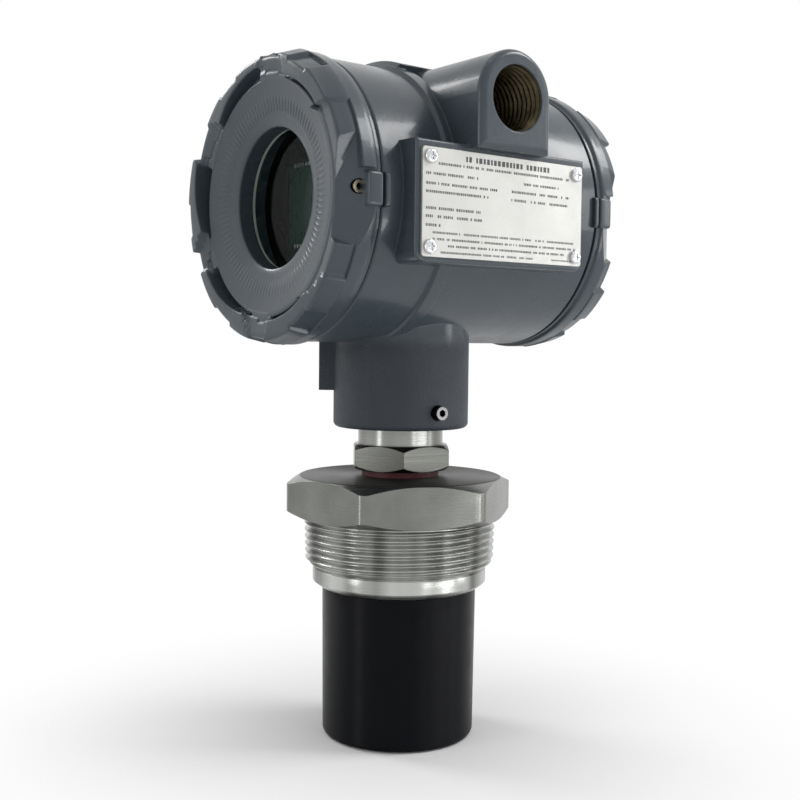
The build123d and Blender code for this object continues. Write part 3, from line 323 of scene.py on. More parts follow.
# Each plain finish: colour, roughness, metal, scale and depth of its grain, then how far its colour drifts
# and its shine where they aren't the usual ones
PLAIN = {
    "screw_steel": ((0.62, 0.63, 0.65), 0.16, 1.0, 900, 0.00002),
    "plate_metal": ((0.48, 0.48, 0.46), 0.38, 0.7, 1400, 0.00001, 0.05),
    "red_rubber": ((0.09, 0.006, 0.011), 0.5, 0.0, 800, 0.00003),
    "black_rubber": ((0.02, 0.02, 0.02), 0.6, 0.0, 800, 0.00003),
    "gasket_pale": ((0.4, 0.46, 0.42), 0.55, 0.0, 800, 0.00003),
    "display_dark": ((0.008, 0.027, 0.022), 0.3, 0.0, 500, 0.00001, 0.12, 0.12),
    "board_green": ((0.012, 0.06, 0.026), 0.4, 0.0, 700, 0.00003),
    "frame_black": ((0.008, 0.009, 0.009), 0.45, 0.0, 900, 0.00003, 0.12, 0.15),
    "terminal_plastic": ((0.03, 0.034, 0.034), 0.45, 0.0, 900, 0.00003),
    "zinc": ((0.5, 0.5, 0.48), 0.32, 1.0, 900, 0.00002),
    "piezo_ceramic": ((0.45, 0.4, 0.32), 0.5, 0.0, 700, 0.00003),
    "layer_resin": ((0.35, 0.3, 0.2), 0.5, 0.0, 700, 0.00003),
    "absorber": ((0.05, 0.05, 0.055), 0.8, 0.0, 500, 0.0001),
    "feedthrough_metal": ((0.45, 0.35, 0.18), 0.35, 1.0, 800, 0.00002),
}
FINISHES = {name: plain(name, *values) for name, values in PLAIN.items()}
FINISHES["head_enamel"] = enamel()
FINISHES["bright_steel"] = turned_steel()
FINISHES["black_plastic"] = turned_plastic()
FINISHES["window_glass"] = window_pane()

LOCK_SCREW_FACE = 38.88
NECK_SCREW_FACE = 23.8
NECK_SCREW_WAY = (0.994522, -0.104528, 0)
YELLOW_ZINC = (0.6, 0.53, 0.38)
GREY_STEEL = (0.15, 0.15, 0.155)
# Painted shade: the window's retaining ring is stainless steel, given a near black matte colour for the
# shade on it
PAINTED_SHADE_RING = ((0.006, 0.008, 0.008), 0.5, 0.0, 900, 0.00002, 0.12, 0.1)
NODE_FINISHES = {
    "window_retaining_ring": plain("retaining_ring_painted_shade", *PAINTED_SHADE_RING),
    "front_lock_screw": set_screw("front_lock_screw_metal", YELLOW_ZINC, (1, 0, 0), LOCK_SCREW_FACE),
    "rear_lock_screw": set_screw("rear_lock_screw_metal", YELLOW_ZINC, (1, 0, 0), LOCK_SCREW_FACE),
    "neck_lock_screw": set_screw("neck_lock_screw_metal", GREY_STEEL, NECK_SCREW_WAY, NECK_SCREW_FACE),
}
for part in frame["record"]["subparts"]:
    carried = nodes[part["node"]].data
    carried.materials.clear()
    carried.materials.append(NODE_FINISHES.get(part["node"]) or FINISHES[part["material_slot"]])


# Surfaces

def ease(value, low, high):
    """0 below low, 1 above high, and a smooth step between."""
    t = np.clip((value - low) / (high - low), 0, 1)
    return t * t * (3 - 2 * t)


def hump(value, rise, rise_end, fall, fall_end):
    """0, then 1 from rise_end to fall, then 0 again, with a smooth step at each end."""
    return ease(value, rise, rise_end) * (1 - ease(value, fall, fall_end))


def ring_angles(count):
    return np.linspace(0, TAU, count, endpoint=False)


def grid_faces(rows, columns, loop):
    """Four-cornered faces of a grid whose columns close round, and whose rows close too if loop is set."""
    row, column = np.meshgrid(np.arange(rows if loop else rows - 1), np.arange(columns), indexing="ij")
    row, after = row * columns, (row + 1) % rows * columns
    beside = (column + 1) % columns
    return np.stack([row + column, row + beside, after + beside, after + column], axis=-1).reshape(-1, 4)


def fan_faces(middle, ring):
    """Triangles from a middle point to a closed ring of points."""
    return np.stack([np.full_like(ring, middle), np.roll(ring, -1), ring], axis=-1)


def capped_faces(rows, columns):
    """Faces of a tube of rings, with one flat face over each end."""
    caps = [list(range(columns - 1, -1, -1)), list(range((rows - 1) * columns, rows * columns))]
    return grid_faces(rows, columns, False).tolist() + caps


def wave(turns):
    """Triangle wave of the number of turns: 1 at whole turns and 0 half-way between them."""
    return np.abs(2 * np.mod(turns, 1.0) - 1)


def outward_mesh(name, points, faces):
    """A mesh from points in millimetres and lists of faces, turned to face outwards."""
    mesh = bpy.data.meshes.new(name)
    mesh.from_pydata((points.reshape(-1, 3) * MM).tolist(), [], faces)
    work = bmesh.new()
    work.from_mesh(mesh)
    bmesh.ops.recalc_face_normals(work, faces=work.faces)
    work.to_mesh(mesh)
    work.free()
    return mesh


def linked(name, data):
    """An object that carries the data, in the scene."""
    made = bpy.data.objects.new(name, data)
    bpy.context.scene.collection.objects.link(made)
    return made


def piece(name, points, faces, body, slot, material=None, stands_for=(), crease=32.0):
    """A named piece with smooth faces, and sharp edges where they meet at more than the crease angle."""
    mesh = outward_mesh(name, points, faces)
    mesh.polygons.foreach_set("use_smooth", np.ones(len(mesh.polygons), dtype=bool))
    mesh.set_sharp_from_angle(angle=math.radians(crease))
    mesh.materials.append(material or FINISHES[slot])
    made = linked(name, mesh)
    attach(made, body)
    if stands_for:
        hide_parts(*stands_for)
    return made


def stack(rows, turn):
    """Rows of (radius, height) pairs, each a number or an array over the turn, as two arrays."""
    radius = np.array([np.broadcast_to(r, turn.shape) for r, _ in rows])
    height = np.array([np.broadcast_to(h, turn.shape) for _, h in rows])
    return radius, height


# Mounting plug and conduit thread

PLUG_COLUMNS = 432
HEX_CORNER = math.radians(5.3)
HEX_HALF_WIDTH = 31.75
HEX_CORNER_RADIUS = 36.2
COLLAR_RADIUS = 27.4
CUP_RADIUS = 24.3
PLUG_PITCH = 2.209
PLUG_CREST = 30.15
PLUG_TURN_DEPTH = 1.6
PLUG_TAPER = 1 / 32
STEM_HOLE = 10.1
PLUG_HOLLOW = 19.0


def threaded_plug():
    """Mounting plug about Z as one closed skin, whose rows are rings.

    The hexagon's radius is half its width over the cosine of the angle from the middle of its flat. The
    chamfer's edge falls as that radius grows. The thread's radius is the taper's, less a flattened triangle
    wave of height that climbs one pitch a turn, held under a cone at its lower end.
    """
    turn = HEX_CORNER + ring_angles(PLUG_COLUMNS)
    flat = HEX_HALF_WIDTH / np.cos(np.mod(turn - HEX_CORNER, TAU / 6) - TAU / 12)
    flat = np.minimum(flat, HEX_CORNER_RADIUS) - 0.25 * ease(flat, 35.6, 36.4)
    rows = [
        (CUP_RADIUS, COLLAR_FOOT), (25.0, COLLAR_FOOT), (25.3, COLLAR_FOOT + 0.1),
        (COLLAR_RADIUS - 0.2, 48.45), (COLLAR_RADIUS, 48.75), (COLLAR_RADIUS, 50.5), (COLLAR_RADIUS, 52.5),
        (COLLAR_RADIUS - 0.1, 52.75), (COLLAR_RADIUS - 0.4, 52.9),
    ]
    for height in np.linspace(COLLAR_TOP, HEX_FOOT - 0.15, 132):
        cut = np.clip(1.25 * wave((height - HEX_FOOT) / PLUG_PITCH - turn / TAU) - 0.12, 0, 1)
        depth = PLUG_TURN_DEPTH * cut * (1 - ease(height, HEX_FOOT - 1.0, HEX_FOOT - 0.2) * 0.6)
        crest = PLUG_CREST - (HEX_FOOT - height) * PLUG_TAPER
        lead = COLLAR_RADIUS - 0.4 + (height - COLLAR_TOP) * 1.15
        rows.append((np.minimum(crest - depth, lead), height))
    low = HEX_FOOT + 0.1 + np.maximum(0, flat - 31.85) * 0.5
    high = HEX_TOP - 0.1 - np.maximum(0, flat - 31.65) * 0.54
    rows += [(29.6, HEX_FOOT), (31.0, HEX_FOOT), (31.5, HEX_FOOT + 0.03)]
    rows += [(flat, low + (high - low) * share) for share in (0, 0.25, 0.5, 0.75, 1)]
    rows += [(31.4, HEX_TOP - 0.02), (31.0, HEX_TOP), (24.0, HEX_TOP), (16.0, HEX_TOP), (STEM_HOLE, HEX_TOP)]
    rows += [(STEM_HOLE, 74.0), (PLUG_HOLLOW, 74.0), (PLUG_HOLLOW, 65.0), (CUP_RADIUS, 65.0)]
    radius, height = stack(rows, turn)
    points = np.stack([radius * np.cos(turn), radius * np.sin(turn), height], axis=-1)
    faces = grid_faces(len(rows), PLUG_COLUMNS, True).tolist()
    return piece("threaded_plug", points, faces, "mount", "bright_steel", None, ("mounting_plug",), 26)


CONDUIT_COLUMNS = 180
CONDUIT_PITCH = 1.814
CONDUIT_BORE = 9.24
CONDUIT_CREST = 8.45
CONDUIT_TURN_DEPTH = 0.65
CONDUIT_FIRST, CONDUIT_LAST = 32.6, 51.1


def conduit_turns():
    """Thread in the open conduit entry: a thin sleeve about X whose inner radius is a triangle wave of depth
    and angle, one pitch a turn, with a bevelled mouth."""
    turn = ring_angles(CONDUIT_COLUMNS)
    rows = [(CONDUIT_BORE, CONDUIT_FIRST), (CONDUIT_BORE, 42.0), (CONDUIT_BORE, CONDUIT_LAST)]
    rows.append((9.1, CONDUIT_LAST - 0.2))
    for place in np.linspace(CONDUIT_LAST - 0.5, CONDUIT_FIRST + 0.2, 118):
        cut = np.clip(1.2 * wave(place / CONDUIT_PITCH + turn / TAU) - 0.1, 0, 1)
        mouth = 9.15 - np.clip(CONDUIT_LAST - 0.5 - place, 0, 0.7)
        rows.append((np.maximum(CONDUIT_CREST + CONDUIT_TURN_DEPTH * cut, mouth), place))
    rows.append((8.3, CONDUIT_FIRST))
    radius, place = stack(rows, turn)
    points = np.stack([place, radius * np.cos(turn), CONDUIT_AXIS + radius * np.sin(turn)], axis=-1)
    faces = grid_faces(len(rows), CONDUIT_COLUMNS, True).tolist()
    return piece("conduit_turns", points, faces, "head", "lock_screw_metal", yellowed_metal(), (), 40)


# Screw covers: angles run from +X towards +Z, and e is the height out of a cover's face

class Lug(NamedTuple):
    """One lug of a screw cover and the pocket behind it, in degrees round the cover and millimetres."""

    start: float
    end: float
    slant: float
    start_lift: float
    end_lift: float
    start_crest: float
    end_crest: float
    pocket_start: float
    pocket_end: float
    pocket_wide: float
    pocket_narrow: float
    pocket_bend: float
    pocket_depth: float


LUGS = (
    Lug(33.5, 76.0, 7.0, 2.3, 2.3, 40.8, 40.3, 39.5, 68.0, 36.4, 35.0, 1.2, 1.7),
    Lug(93.0, 143.0, 8.0, 1.2, 1.6, 39.8, 41.0, 95.6, 138.0, 37.4, 34.2, 2.0, 3.2),
    Lug(158.5, 200.0, 8.0, 3.0, 2.6, 41.8, 42.1, 160.6, 196.5, 38.6, 34.2, 1.3, 4.2),
    Lug(209.5, 261.0, 9.0, 1.9, 1.5, 41.6, 41.2, 213.6, 257.5, 37.6, 34.2, 1.35, 3.8),
    Lug(273.0, 325.0, 25.0, 1.9, 1.9, 41.3, 41.3, 276.0, 303.0, 35.6, 36.3, 1.0, 2.4),
)
SLANT_RADIUS = 39.5
FACE_RADIUS = 33.8
POCKET_INNER = 33.7
LOBE_CREST = 40.4
RIM_RADIUS = 41.3
RIM_HEIGHT = -4.3
BAND_RADIUS = 42.1
SKIRT_RADIUS = 41.2
SKIRT_END = -10.9
CREST_BEND = 0.8
WINDOW_RADIUS = 20.2
WINDOW_FLOOR = -7.7
DISH_DEPTH = 2.8
FACE_CONE = 0.2
RIB_COUNT = 104
RIB_HEIGHT = 0.17
COVER_WALL = -2.9

# Rows across the ribbed ring of the face, each its radius and whether the ribs stand on it
FACE_ROWS = (
    (22.0, 0), (23.4, 0), (24.3, 0), (24.7, 1), (26.4, 1), (27.9, 1),
    (28.4, 0), (30.0, 0), (31.4, 0), (32.4, 0), (33.1, 0),
)
# Rows across a pocket, each its share of the pocket's width and of its depth: first the side by the window
POCKET_INNER_ROWS = ((0.07, 0.2), (0.15, 0.55), (0.26, 0.85), (0.4, 1.0))
POCKET_OUTER_ROWS = ((0.62, 1.0), (0.76, 0.88), (0.86, 0.6), (0.94, 0.25))


def lug_weight(angle, radius, lug):
    """1 on a lug and 0 off it: both ends of the lug slant, so they move with the radius inside 39.5 mm."""
    inside = np.clip(SLANT_RADIUS - radius, 0, 6)
    first = lug.start + 0.85 * inside
    last = lug.end - lug.slant * inside / 5.5
    return hump(angle, first - 0.7, first + 0.7, last - 1.2, last + 0.6)


def face_height(angle, radius, cone):
    """Height of the face's outer part: a shallow cone from its edge outwards, with the lugs on it."""
    level = cone * np.clip(radius - FACE_RADIUS, 0, None) + np.zeros_like(angle)
    for lug in LUGS:
        along = ease(angle, lug.start + 16, lug.start + 34)
        lift = lug.start_lift + (lug.end_lift - lug.start_lift) * along
        weight = lug_weight(angle, radius, lug)
        level = level * (1 - weight) + np.maximum(level, lift) * weight
    return level


def rim_shape(angle, gap):
    """What the lugs make of the rim, over the angle: the crest's and the rim's radius, the pockets' outer
    radius and their depth. A lug's crest runs from one radius to another and dips at its notch. A pocket's
    outer radius runs inwards as a power of the way along it."""
    on_lug, notch, depth = np.zeros((3, len(angle)))
    outer = np.full(len(angle), 36.0)
    crest = LOBE_CREST - 0.9 * gap
    for lug in LUGS:
        weight = lug_weight(angle, SLANT_RADIUS, lug)
        on_lug = np.maximum(on_lug, weight)
        along = np.clip((angle - lug.start) / (lug.end - lug.start), 0, 1)
        lug_crest = lug.start_crest + (lug.end_crest - lug.start_crest) * along
        crest = crest * (1 - weight) + lug_crest * weight
        first, last = lug.pocket_start, lug.pocket_end
        reach = np.clip((angle - first) / (last - first), 0, 1) ** lug.pocket_bend
        near = (angle > lug.start - 3) & (angle < lug.end + 3)
        outer = np.where(near, lug.pocket_wide + (lug.pocket_narrow - lug.pocket_wide) * reach, outer)
        pocket = hump(angle, first - 0.6, first + 0.9, last - 5, last + 1)
        depth = np.maximum(depth, lug.pocket_depth * pocket)
        notch = np.maximum(notch, hump(angle, *(lug.start + np.array([19.6, 20.3, 33.5, 34.6]))))
    crest = crest - notch * on_lug
    rim = np.maximum(RIM_RADIUS + on_lug - 1.2 * notch * on_lug - 1.2 * gap, crest + 0.1)
    side = RIM_HEIGHT + 0.3 * (1 - on_lug)
    return crest, rim, side, outer, depth


def cover_skin(columns, glazed):
    """A screw cover as rows of rings, from its middle outwards and round to its inside: the angle, then each
    row's radius and height out of the face over the angle.

    Behind each lug on the rim lies a pocket between two radii. From the crest the profile turns down through
    a quarter circle and runs straight to the rim. Under the rim stand a smooth band and a skirt. The glazed
    face is a shallow dish round its window, and its ribs are a clipped cosine of the angle.
    """
    turn = ring_angles(columns)
    angle = np.degrees(turn)
    cone = FACE_CONE if glazed else 0.0
    sunk = DISH_DEPTH if glazed else 0.0
    gap = hump(angle, 76.5, 78.5, 90.5, 92.5)
    crest, rim, side, outer, depth = rim_shape(angle, gap)
    inner = np.where((angle > 273) & (angle < 306), POCKET_INNER + 0.6, POCKET_INNER)
    outer = np.maximum(outer, inner + 1.0)
    if glazed:
        rows = [(WINDOW_RADIUS, height) for height in (WINDOW_FLOOR, -5.0, -3.5)]
        rows += [(WINDOW_RADIUS + out, height) for out, height in ((0.04, -3.1), (0.2, -2.82), (0.5, -2.68))]
        rib = RIB_HEIGHT * ease(np.cos(RIB_COUNT * turn), 0.15, 0.85) * (0.7 + 0.3 * np.sin(turn + 0.6))
    else:
        rows = [(radius, 0.0) for radius in (3.0, 9.0, 16.0, 20.0)]
        rib = 0.0
    for radius, ribbed in FACE_ROWS:
        rows.append((radius, rib * ribbed - sunk * (FACE_RADIUS - radius) / (FACE_RADIUS - WINDOW_RADIUS)))
    brink = np.clip(depth, 0, 1)
    rows += [(inner - 0.3, 0.0), (inner - 0.08, -0.08 * brink), (inner + 0.05, -0.26 * brink)]
    for share, fall in POCKET_INNER_ROWS:
        radius = inner + share * (outer - inner)
        rows.append((radius, np.where(depth > 0.02, -fall * depth, face_height(angle, radius, cone))))
    for share, fall in POCKET_OUTER_ROWS:
        radius = inner + share * (outer - inner)
        rows.append((radius, face_height(angle, radius, cone) * max(0, 1 - 2 * fall) - fall * depth))
    lip = outer + 0.02
    bend = crest - CREST_BEND
    rows.append((lip, face_height(angle, lip, cone) - 0.02 * depth))
    for share in (0.12, 0.4, 0.7):
        radius = lip + (bend - lip) * share
        rows.append((radius, face_height(angle, radius, cone)))
    top = face_height(angle, bend, cone)
    for swing in np.linspace(0, math.pi / 2, 6):
        rows.append((bend + CREST_BEND * math.sin(swing), top - CREST_BEND * (1 - math.cos(swing))))
    for share in (0.3, 0.65, 1.0):
        rows.append((crest + (rim - crest) * share, top - CREST_BEND + (side - top + CREST_BEND) * share))
    band = BAND_RADIUS - 1.4 * gap
    skirt = SKIRT_RADIUS - 0.9 * gap
    rows += [(rim, -4.45), (rim - 0.15, -4.6), (band - 0.1, -4.62)]
    rows += [(band, height) for height in (-4.75, -6.0, -7.5, -8.9)]
    rows += [(band - 0.15, -9.25), (skirt + 0.05, -9.75), (skirt, -9.95), (skirt, SKIRT_END)]
    rows += [(35.8, SKIRT_END), (35.8, -8.4), (33.3, -8.4), (33.3, COVER_WALL)]
    if glazed:
        rows += [(28.6, COVER_WALL), (28.6, -20.0), (25.4, -20.0), (25.4, -16.7), (24.0, -16.7)]
        rows.append((24.0, WINDOW_FLOOR))
    else:
        rows.append((3.0, COVER_WALL))
    return (turn, *stack(rows, turn))


def out_of_face(front, e):
    """The place along Y of a height out of the front or rear cover's face."""
    return FRONT_FACE - e if front else REAR_FACE + e


# The lock screw's flat: each plane keeps a x + b e + c z < d, with x and z from the head's axis
SLOPE = (-1.0, -0.737, 0.0, -35.2)
FOOT = (-0.634, 0.0, -1.0, 13.7 - 0.634 * 35.2)
INNER_WALL = (-1.0, 0.0, 0.28, -34.77)
FLAT_CUT = (SLOPE, FOOT, INNER_WALL, (0, -1, 0, 4.61), (0, 0, 1, 22))
BAND_CUT = (SLOPE, FOOT, (0, -1, 0, 10.4), (0, 1, 0, -4.5), (0, 0, 1, 4.9))
SCREW_HOLE_RADIUS = 2.05
SCREW_HOLE_ENDS = np.array([[31.0], [50.0]])
SCREW_DEPTH = -5.4
BLOCK_MIDDLE = 38.3
BLOCK_HALF_DEPTH = 4.2
BLOCK_HALF_HEIGHT = 4.65
BLOCK_DROP = -0.6
COVER_BLOCK = (-10.88, -6.1)
BODY_EAR = (-13.2, -11.6)


def wedge(name, front, limits):
    """Convex cutter: a big box cut down by planes."""
    work = bmesh.new()
    bmesh.ops.create_cube(work, size=200.0)
    for a, b, c, d in limits:
        way = Vector((a, b, c))
        whole = work.verts[:] + work.edges[:] + work.faces[:]
        at = way * (d / way.length_squared)
        cut = bmesh.ops.bisect_plane(work, geom=whole, plane_co=at, plane_no=way, clear_outer=True)
        border = [item for item in cut["geom_cut"] if isinstance(item, bmesh.types.BMEdge)]
        if border:
            bmesh.ops.contextual_create(work, geom=border)
    for vert in work.verts:
        x, e, z = vert.co
        vert.co = Vector((x, out_of_face(front, e), HEAD_AXIS + z)) * MM
    work.normal_update()
    bmesh.ops.recalc_face_normals(work, faces=work.faces)
    mesh = bpy.data.meshes.new(name)
    work.to_mesh(mesh)
    work.free()
    return linked(name, mesh)


def squared(value):
    """A sine or cosine pushed out towards 1 and -1, which squares a ball's form."""
    return np.sign(value) * np.abs(value) ** 0.2


def lock_block(front, low, high):
    """Small rounded block behind the lock screw, from low to high out of the cover's face: a superellipse
    of two angles, stretched to its three sizes."""
    columns, rows = 48, 24
    a = ring_angles(columns)
    b = np.linspace(-math.pi / 2, math.pi / 2, rows + 2)[1:-1, None]
    x = BLOCK_MIDDLE + BLOCK_HALF_DEPTH * squared(np.cos(b)) * squared(np.cos(a))
    e = low + (high - low) * (0.5 + 0.5 * squared(np.cos(b)) * squared(np.sin(a)))
    z = HEAD_AXIS + BLOCK_DROP + BLOCK_HALF_HEIGHT * squared(np.sin(b)) + 0 * a
    return np.stack([x, out_of_face(front, e), z], axis=-1), capped_faces(rows, columns)


def screw_way(front):
    """Round cutter for the lock screw's hole: a closed cylinder along X."""
    columns = 40
    a = ring_angles(columns)
    x = SCREW_HOLE_ENDS + 0 * a
    y = out_of_face(front, SCREW_DEPTH) + SCREW_HOLE_RADIUS * np.cos(a) + 0 * x
    z = HEAD_AXIS + SCREW_HOLE_RADIUS * np.sin(a) + 0 * x
    return np.stack([x, y, z], axis=-1), capped_faces(2, columns)


def screw_cover(name, node, body, front):
    """A cover's skin with the sloping flat and the lock screw's hole cut, and its lock block added."""
    columns = 832 if front else 640
    turn, radius, height = cover_skin(columns, front)
    rows = len(radius)
    y = out_of_face(front, height)
    points = np.stack([radius * np.cos(turn), y, HEAD_AXIS + radius * np.sin(turn)], axis=-1).reshape(-1, 3)
    faces = grid_faces(rows, columns, front).tolist()
    # The blind cover's rows end in two open rings at its middle, so a fan closes each
    if not front:
        middles = [[0.0, REAR_FACE, HEAD_AXIS], [0.0, out_of_face(front, COVER_WALL), HEAD_AXIS]]
        points = np.concatenate([points, middles])
        ring = np.arange(columns)
        faces += fan_faces(rows * columns, ring).tolist()
        faces += fan_faces(rows * columns + 1, ring + (rows - 1) * columns).tolist()
    made = piece(name, points, faces, body, "head_enamel", None, (node,), 30)
    way = name + "_way"
    block = name + "_block"
    shapes = (
        (wedge(name + "_slope", front, FLAT_CUT), "DIFFERENCE"),
        (wedge(name + "_flange", front, BAND_CUT), "DIFFERENCE"),
        (linked(way, outward_mesh(way, *screw_way(front))), "DIFFERENCE"),
        (linked(block, outward_mesh(block, *lock_block(front, *COVER_BLOCK))), "UNION"),
    )
    for shape, operation in shapes:
        step = made.modifiers.new(shape.name, "BOOLEAN")
        step.object = shape
        step.operation = operation
        step.solver = "EXACT"
    bpy.context.view_layer.update()
    evaluated = made.evaluated_get(bpy.context.evaluated_depsgraph_get())
    finished = bpy.data.meshes.new_from_object(evaluated)
    made.modifiers.clear()
    finished.materials.clear()
    finished.materials.append(FINISHES["head_enamel"])
    finished.set_sharp_from_angle(angle=math.radians(30))
    made.data = finished
    for shape, _ in shapes:
        bpy.data.objects.remove(shape)


def stop_ear(name, front):
    """Ear on the body, in line with the cover's lock block."""
    points, faces = lock_block(front, *BODY_EAR)
    piece(name, points, faces, "head", "head_enamel", None, (), 40)


# Name plate and display

PLATE_LENGTH = 60.4
PLATE_HEIGHT = 29.2
PLATE_MIDDLE = 161.1
PLATE_FACE = 47.45
BAR_THICKNESS = 0.07
# Each row of bars as shares of the plate: where it starts and ends, how far down it is, and how tall
BAR_ROWS = (
    (0.25, 0.80, 0.075, 0.062), (0.09, 0.92, 0.145, 0.03),
    (0.02, 0.33, 0.24, 0.03), (0.02, 0.44, 0.33, 0.03), (0.02, 0.39, 0.405, 0.03),
    (0.61, 0.84, 0.24, 0.028), (0.52, 0.90, 0.325, 0.03), (0.52, 0.90, 0.405, 0.03),
    (0.02, 0.34, 0.555, 0.032), (0.02, 0.34, 0.63, 0.032), (0.02, 0.10, 0.71, 0.032),
    (0.06, 0.95, 0.776, 0.026), (0.06, 0.96, 0.835, 0.026), (0.15, 0.88, 0.894, 0.026),
    (0.10, 0.67, 0.955, 0.024), (0.80, 0.93, 0.955, 0.018),
)
PIN_COUNT = 18
PIN_PITCH = 1.5
PIN_LEVEL = 12.2
PIN_FRONT = -29.75
PIN_THICKNESS = 0.5


def bars(spots, base, thick):
    """Boxes that stand on a plane: each spot gives a box's two limits along Y and along Z, and the boxes go
    from base to base and thick along X."""
    spots = np.asarray(spots)
    y = spots[:, [0, 1, 1, 0, 0, 1, 1, 0]]
    z = spots[:, [2, 2, 3, 3, 2, 2, 3, 3]]
    x = np.broadcast_to(np.array([base] * 4 + [base + thick] * 4), y.shape)
    points = np.stack([x, y, z], axis=-1).reshape(-1, 3)
    one = np.array([[3, 2, 1, 0], [4, 5, 6, 7], [0, 1, 5, 4], [1, 2, 6, 5], [2, 3, 7, 6], [3, 0, 4, 7]])
    faces = (one[None] + 8 * np.arange(len(spots))[:, None, None]).reshape(-1, 4)
    return points, faces.tolist()


def plate_print():
    """Plain rows of small dark bars on the name plate, with no words in them. A seeded draw gives each bar's
    width and leaves one place in six bare."""
    draw = np.random.default_rng(11)
    spots = []
    for start, end, middle, tall in BAR_ROWS:
        at = start
        scale = tall / 0.03
        while at < end:
            wide = (0.0045 + 0.005 * draw.random()) * scale
            if draw.random() < 0.84:
                along = (np.array([at, at + wide]) - 0.5) * PLATE_LENGTH
                up = PLATE_MIDDLE + (0.5 - middle + np.array([-0.4, 0.4]) * tall) * PLATE_HEIGHT
                spots.append([*along, *up])
            at += wide + 0.0038 * scale
    points, faces = bars(spots, PLATE_FACE, BAR_THICKNESS)
    ink = plain("plate_ink", (0.075, 0.074, 0.076), 0.5, 0.0, 900, 0.00001)
    piece("plate_print", points, faces, "head", "frame_black", ink, (), 20)


def display_pins():
    """Two rows of small bright pins at the upper and lower edge of the display, each a short upright bar."""
    level = HEAD_AXIS + np.array([[-PIN_LEVEL], [PIN_LEVEL]])
    across = PIN_PITCH * (np.arange(PIN_COUNT) - (PIN_COUNT - 1) / 2)
    x, z = np.broadcast_arrays(across, level)
    spots = np.stack([x - 0.28, x + 0.28, z - 0.55, z + 0.55], axis=-1).reshape(-1, 4)
    points, faces = bars(spots, PIN_FRONT, PIN_THICKNESS)
    piece("display_pins", points[:, [1, 0, 2]], faces, "head", "zinc", None, (), 20)


threaded_plug()
conduit_turns()
screw_cover("front_cover_skin", "front_cover", "front_cap", True)
screw_cover("rear_cover_skin", "rear_cover", "rear_cap", False)
stop_ear("front_stop_ear", True)
stop_ear("rear_stop_ear", False)
plate_print()
display_pins()


# Stage, lamps and camera, in metres

def stage_floor():
    """A round floor under the sensor: lit near it, so that it takes the shadow, and plain white far off."""
    columns = 96
    turn = ring_angles(columns)
    rings = np.array([0.0, 0.1, 0.3, 0.8, 2.0, 6.0])[:, None]
    x = rings * np.cos(turn)
    points = np.stack([x, rings * np.sin(turn), np.full_like(x, -0.0002)], axis=-1).reshape(-1, 3)
    mesh = bpy.data.meshes.new("studio_floor")
    mesh.from_pydata(points.tolist(), [], grid_faces(len(rings), columns, False)[:, ::-1].tolist())
    material = bpy.data.materials.new("studio_floor_white")
    material.use_nodes = True
    tree = Nodes(material.node_tree)
    material.node_tree.nodes.clear()
    matte = tree.node("ShaderNodeBsdfDiffuse")
    matte.inputs["Color"].default_value = (0.86, 0.86, 0.86, 1)
    white = tree.node("ShaderNodeEmission")
    white.inputs["Color"].default_value = (1, 1, 1, 1)
    length = tree.node("ShaderNodeVectorMath", operation="LENGTH")
    tree.join(tree.node("ShaderNodeTexCoord").outputs["Object"], length.inputs[0])
    far = tree.ease(length.outputs["Value"], 0.02, 0.15)
    mix = tree.node("ShaderNodeMixShader")
    tree.join(tree.math("MULTIPLY", tree.seen_rays(), far), mix.inputs["Fac"])
    tree.join(matte.outputs[0], mix.inputs[1])
    tree.join(white.outputs[0], mix.inputs[2])
    tree.join(mix.outputs[0], tree.node("ShaderNodeOutputMaterial").inputs["Surface"])
    mesh.materials.append(material)
    linked("studio_floor", mesh)


def studio_world(level):
    """White for what the camera, metal and glass see, and a softer level for the light that it gives."""
    world = bpy.data.worlds.new("studio_world")
    bpy.context.scene.world = world
    world.use_nodes = True
    world.node_tree.nodes.clear()
    tree = Nodes(world.node_tree)
    back = tree.node("ShaderNodeBackground")
    back.inputs["Color"].default_value = (1, 1, 1, 1)
    tree.join(tree.ease(tree.seen_rays(), 0.0, 1.0, level, 1.0), back.inputs["Strength"])
    tree.join(back.outputs[0], tree.node("ShaderNodeOutputWorld").inputs["Surface"])


def panel_lamp(name, place, target, width, height, radiance):
    """A rectangular lamp that faces a target, as bright all over as its radiance says."""
    light = bpy.data.lights.new(name, "AREA")
    light.shape = "RECTANGLE"
    light.size = width
    light.size_y = height
    light.energy = radiance * math.pi * width * height
    lamp = linked(name, light)
    lamp.location = place
    lamp.rotation_euler = (Vector(target) - Vector(place)).to_track_quat("-Z", "Y").to_euler()


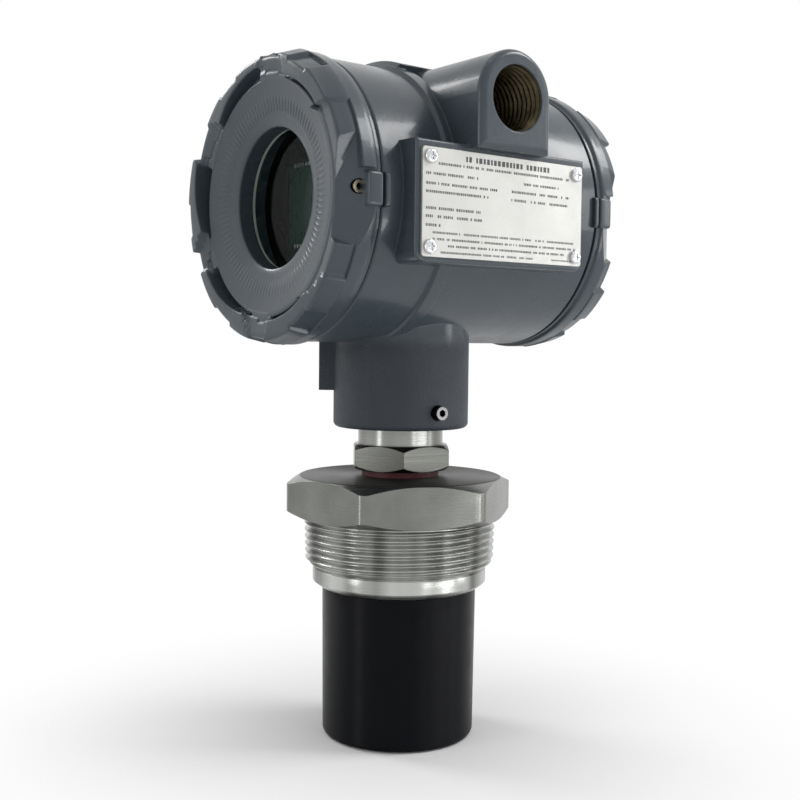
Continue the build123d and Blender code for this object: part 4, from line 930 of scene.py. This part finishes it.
def softbox(name, way, distance, width, height, radiance):
    """A lamp that faces the middle of the sensor from a direction and distance."""
    middle = Vector((0.0, 0.0, 0.11))
    panel_lamp(name, middle + Vector(way).normalized() * distance, middle, width, height, radiance)


def photo_camera():
    """The camera of the photograph, from its target, its distance and its turn about its own axis."""
    azimuth, elevation, roll = math.radians(52.355), math.radians(3.003), math.radians(-0.65)
    target = np.array([0.045116, -0.035128, 0.108168])
    distance = 0.30859
    focal_width = 1157.54 / 800
    level = math.cos(elevation)
    back = np.array([math.sin(azimuth) * level, -math.cos(azimuth) * level, math.sin(elevation)])
    place = target + distance * back
    right = np.cross(-back, (0, 0, 1))
    right /= np.linalg.norm(right)
    down = np.cross(-back, right)
    across = math.cos(roll) * right + math.sin(roll) * down
    below = -math.sin(roll) * right + math.cos(roll) * down
    data = bpy.data.cameras.new("photo_camera")
    data.sensor_width = 36.0
    data.lens = data.sensor_width * focal_width
    camera = linked("photo_camera", data)
    axes = np.eye(4)
    axes[:3] = np.stack([across, -below, back, place], axis=-1)
    camera.matrix_world = Matrix(axes.tolist())
    bpy.context.scene.camera = camera


stage_floor()
studio_world(0.5)
softbox("lamp_right", (0.42, 0.61, 0.67), 1.0, 0.42, 0.3, 10.0)
softbox("lamp_left", (-0.79, -0.33, 0.52), 1.0, 0.3, 0.3, 10.0)
softbox("lamp_top", (0.1, -0.15, 1.0), 1.1, 0.4, 0.4, 1.5)
softbox("strip_right", (0.64, 0.77, 0.16), 1.0, 0.16, 0.44, 5.0)
softbox("strip_left", (-0.12, -0.99, 0.16), 1.0, 0.18, 0.44, 5.0)
panel_lamp("low_card", (0.40, 0.16, 0.035), (0.037, -0.048, 0.170), 0.2, 0.06, 8.0)
panel_lamp("low_strip_right", (0.45, 0.0, 0.05), (0.0, 0.0, 0.03), 0.09, 0.09, 5.0)
panel_lamp("low_strip_left", (-0.044, -0.45, 0.05), (0.0, 0.0, 0.03), 0.05, 0.09, 5.0)
photo_camera()

bpy.context.scene.view_settings.view_transform = "Standard"
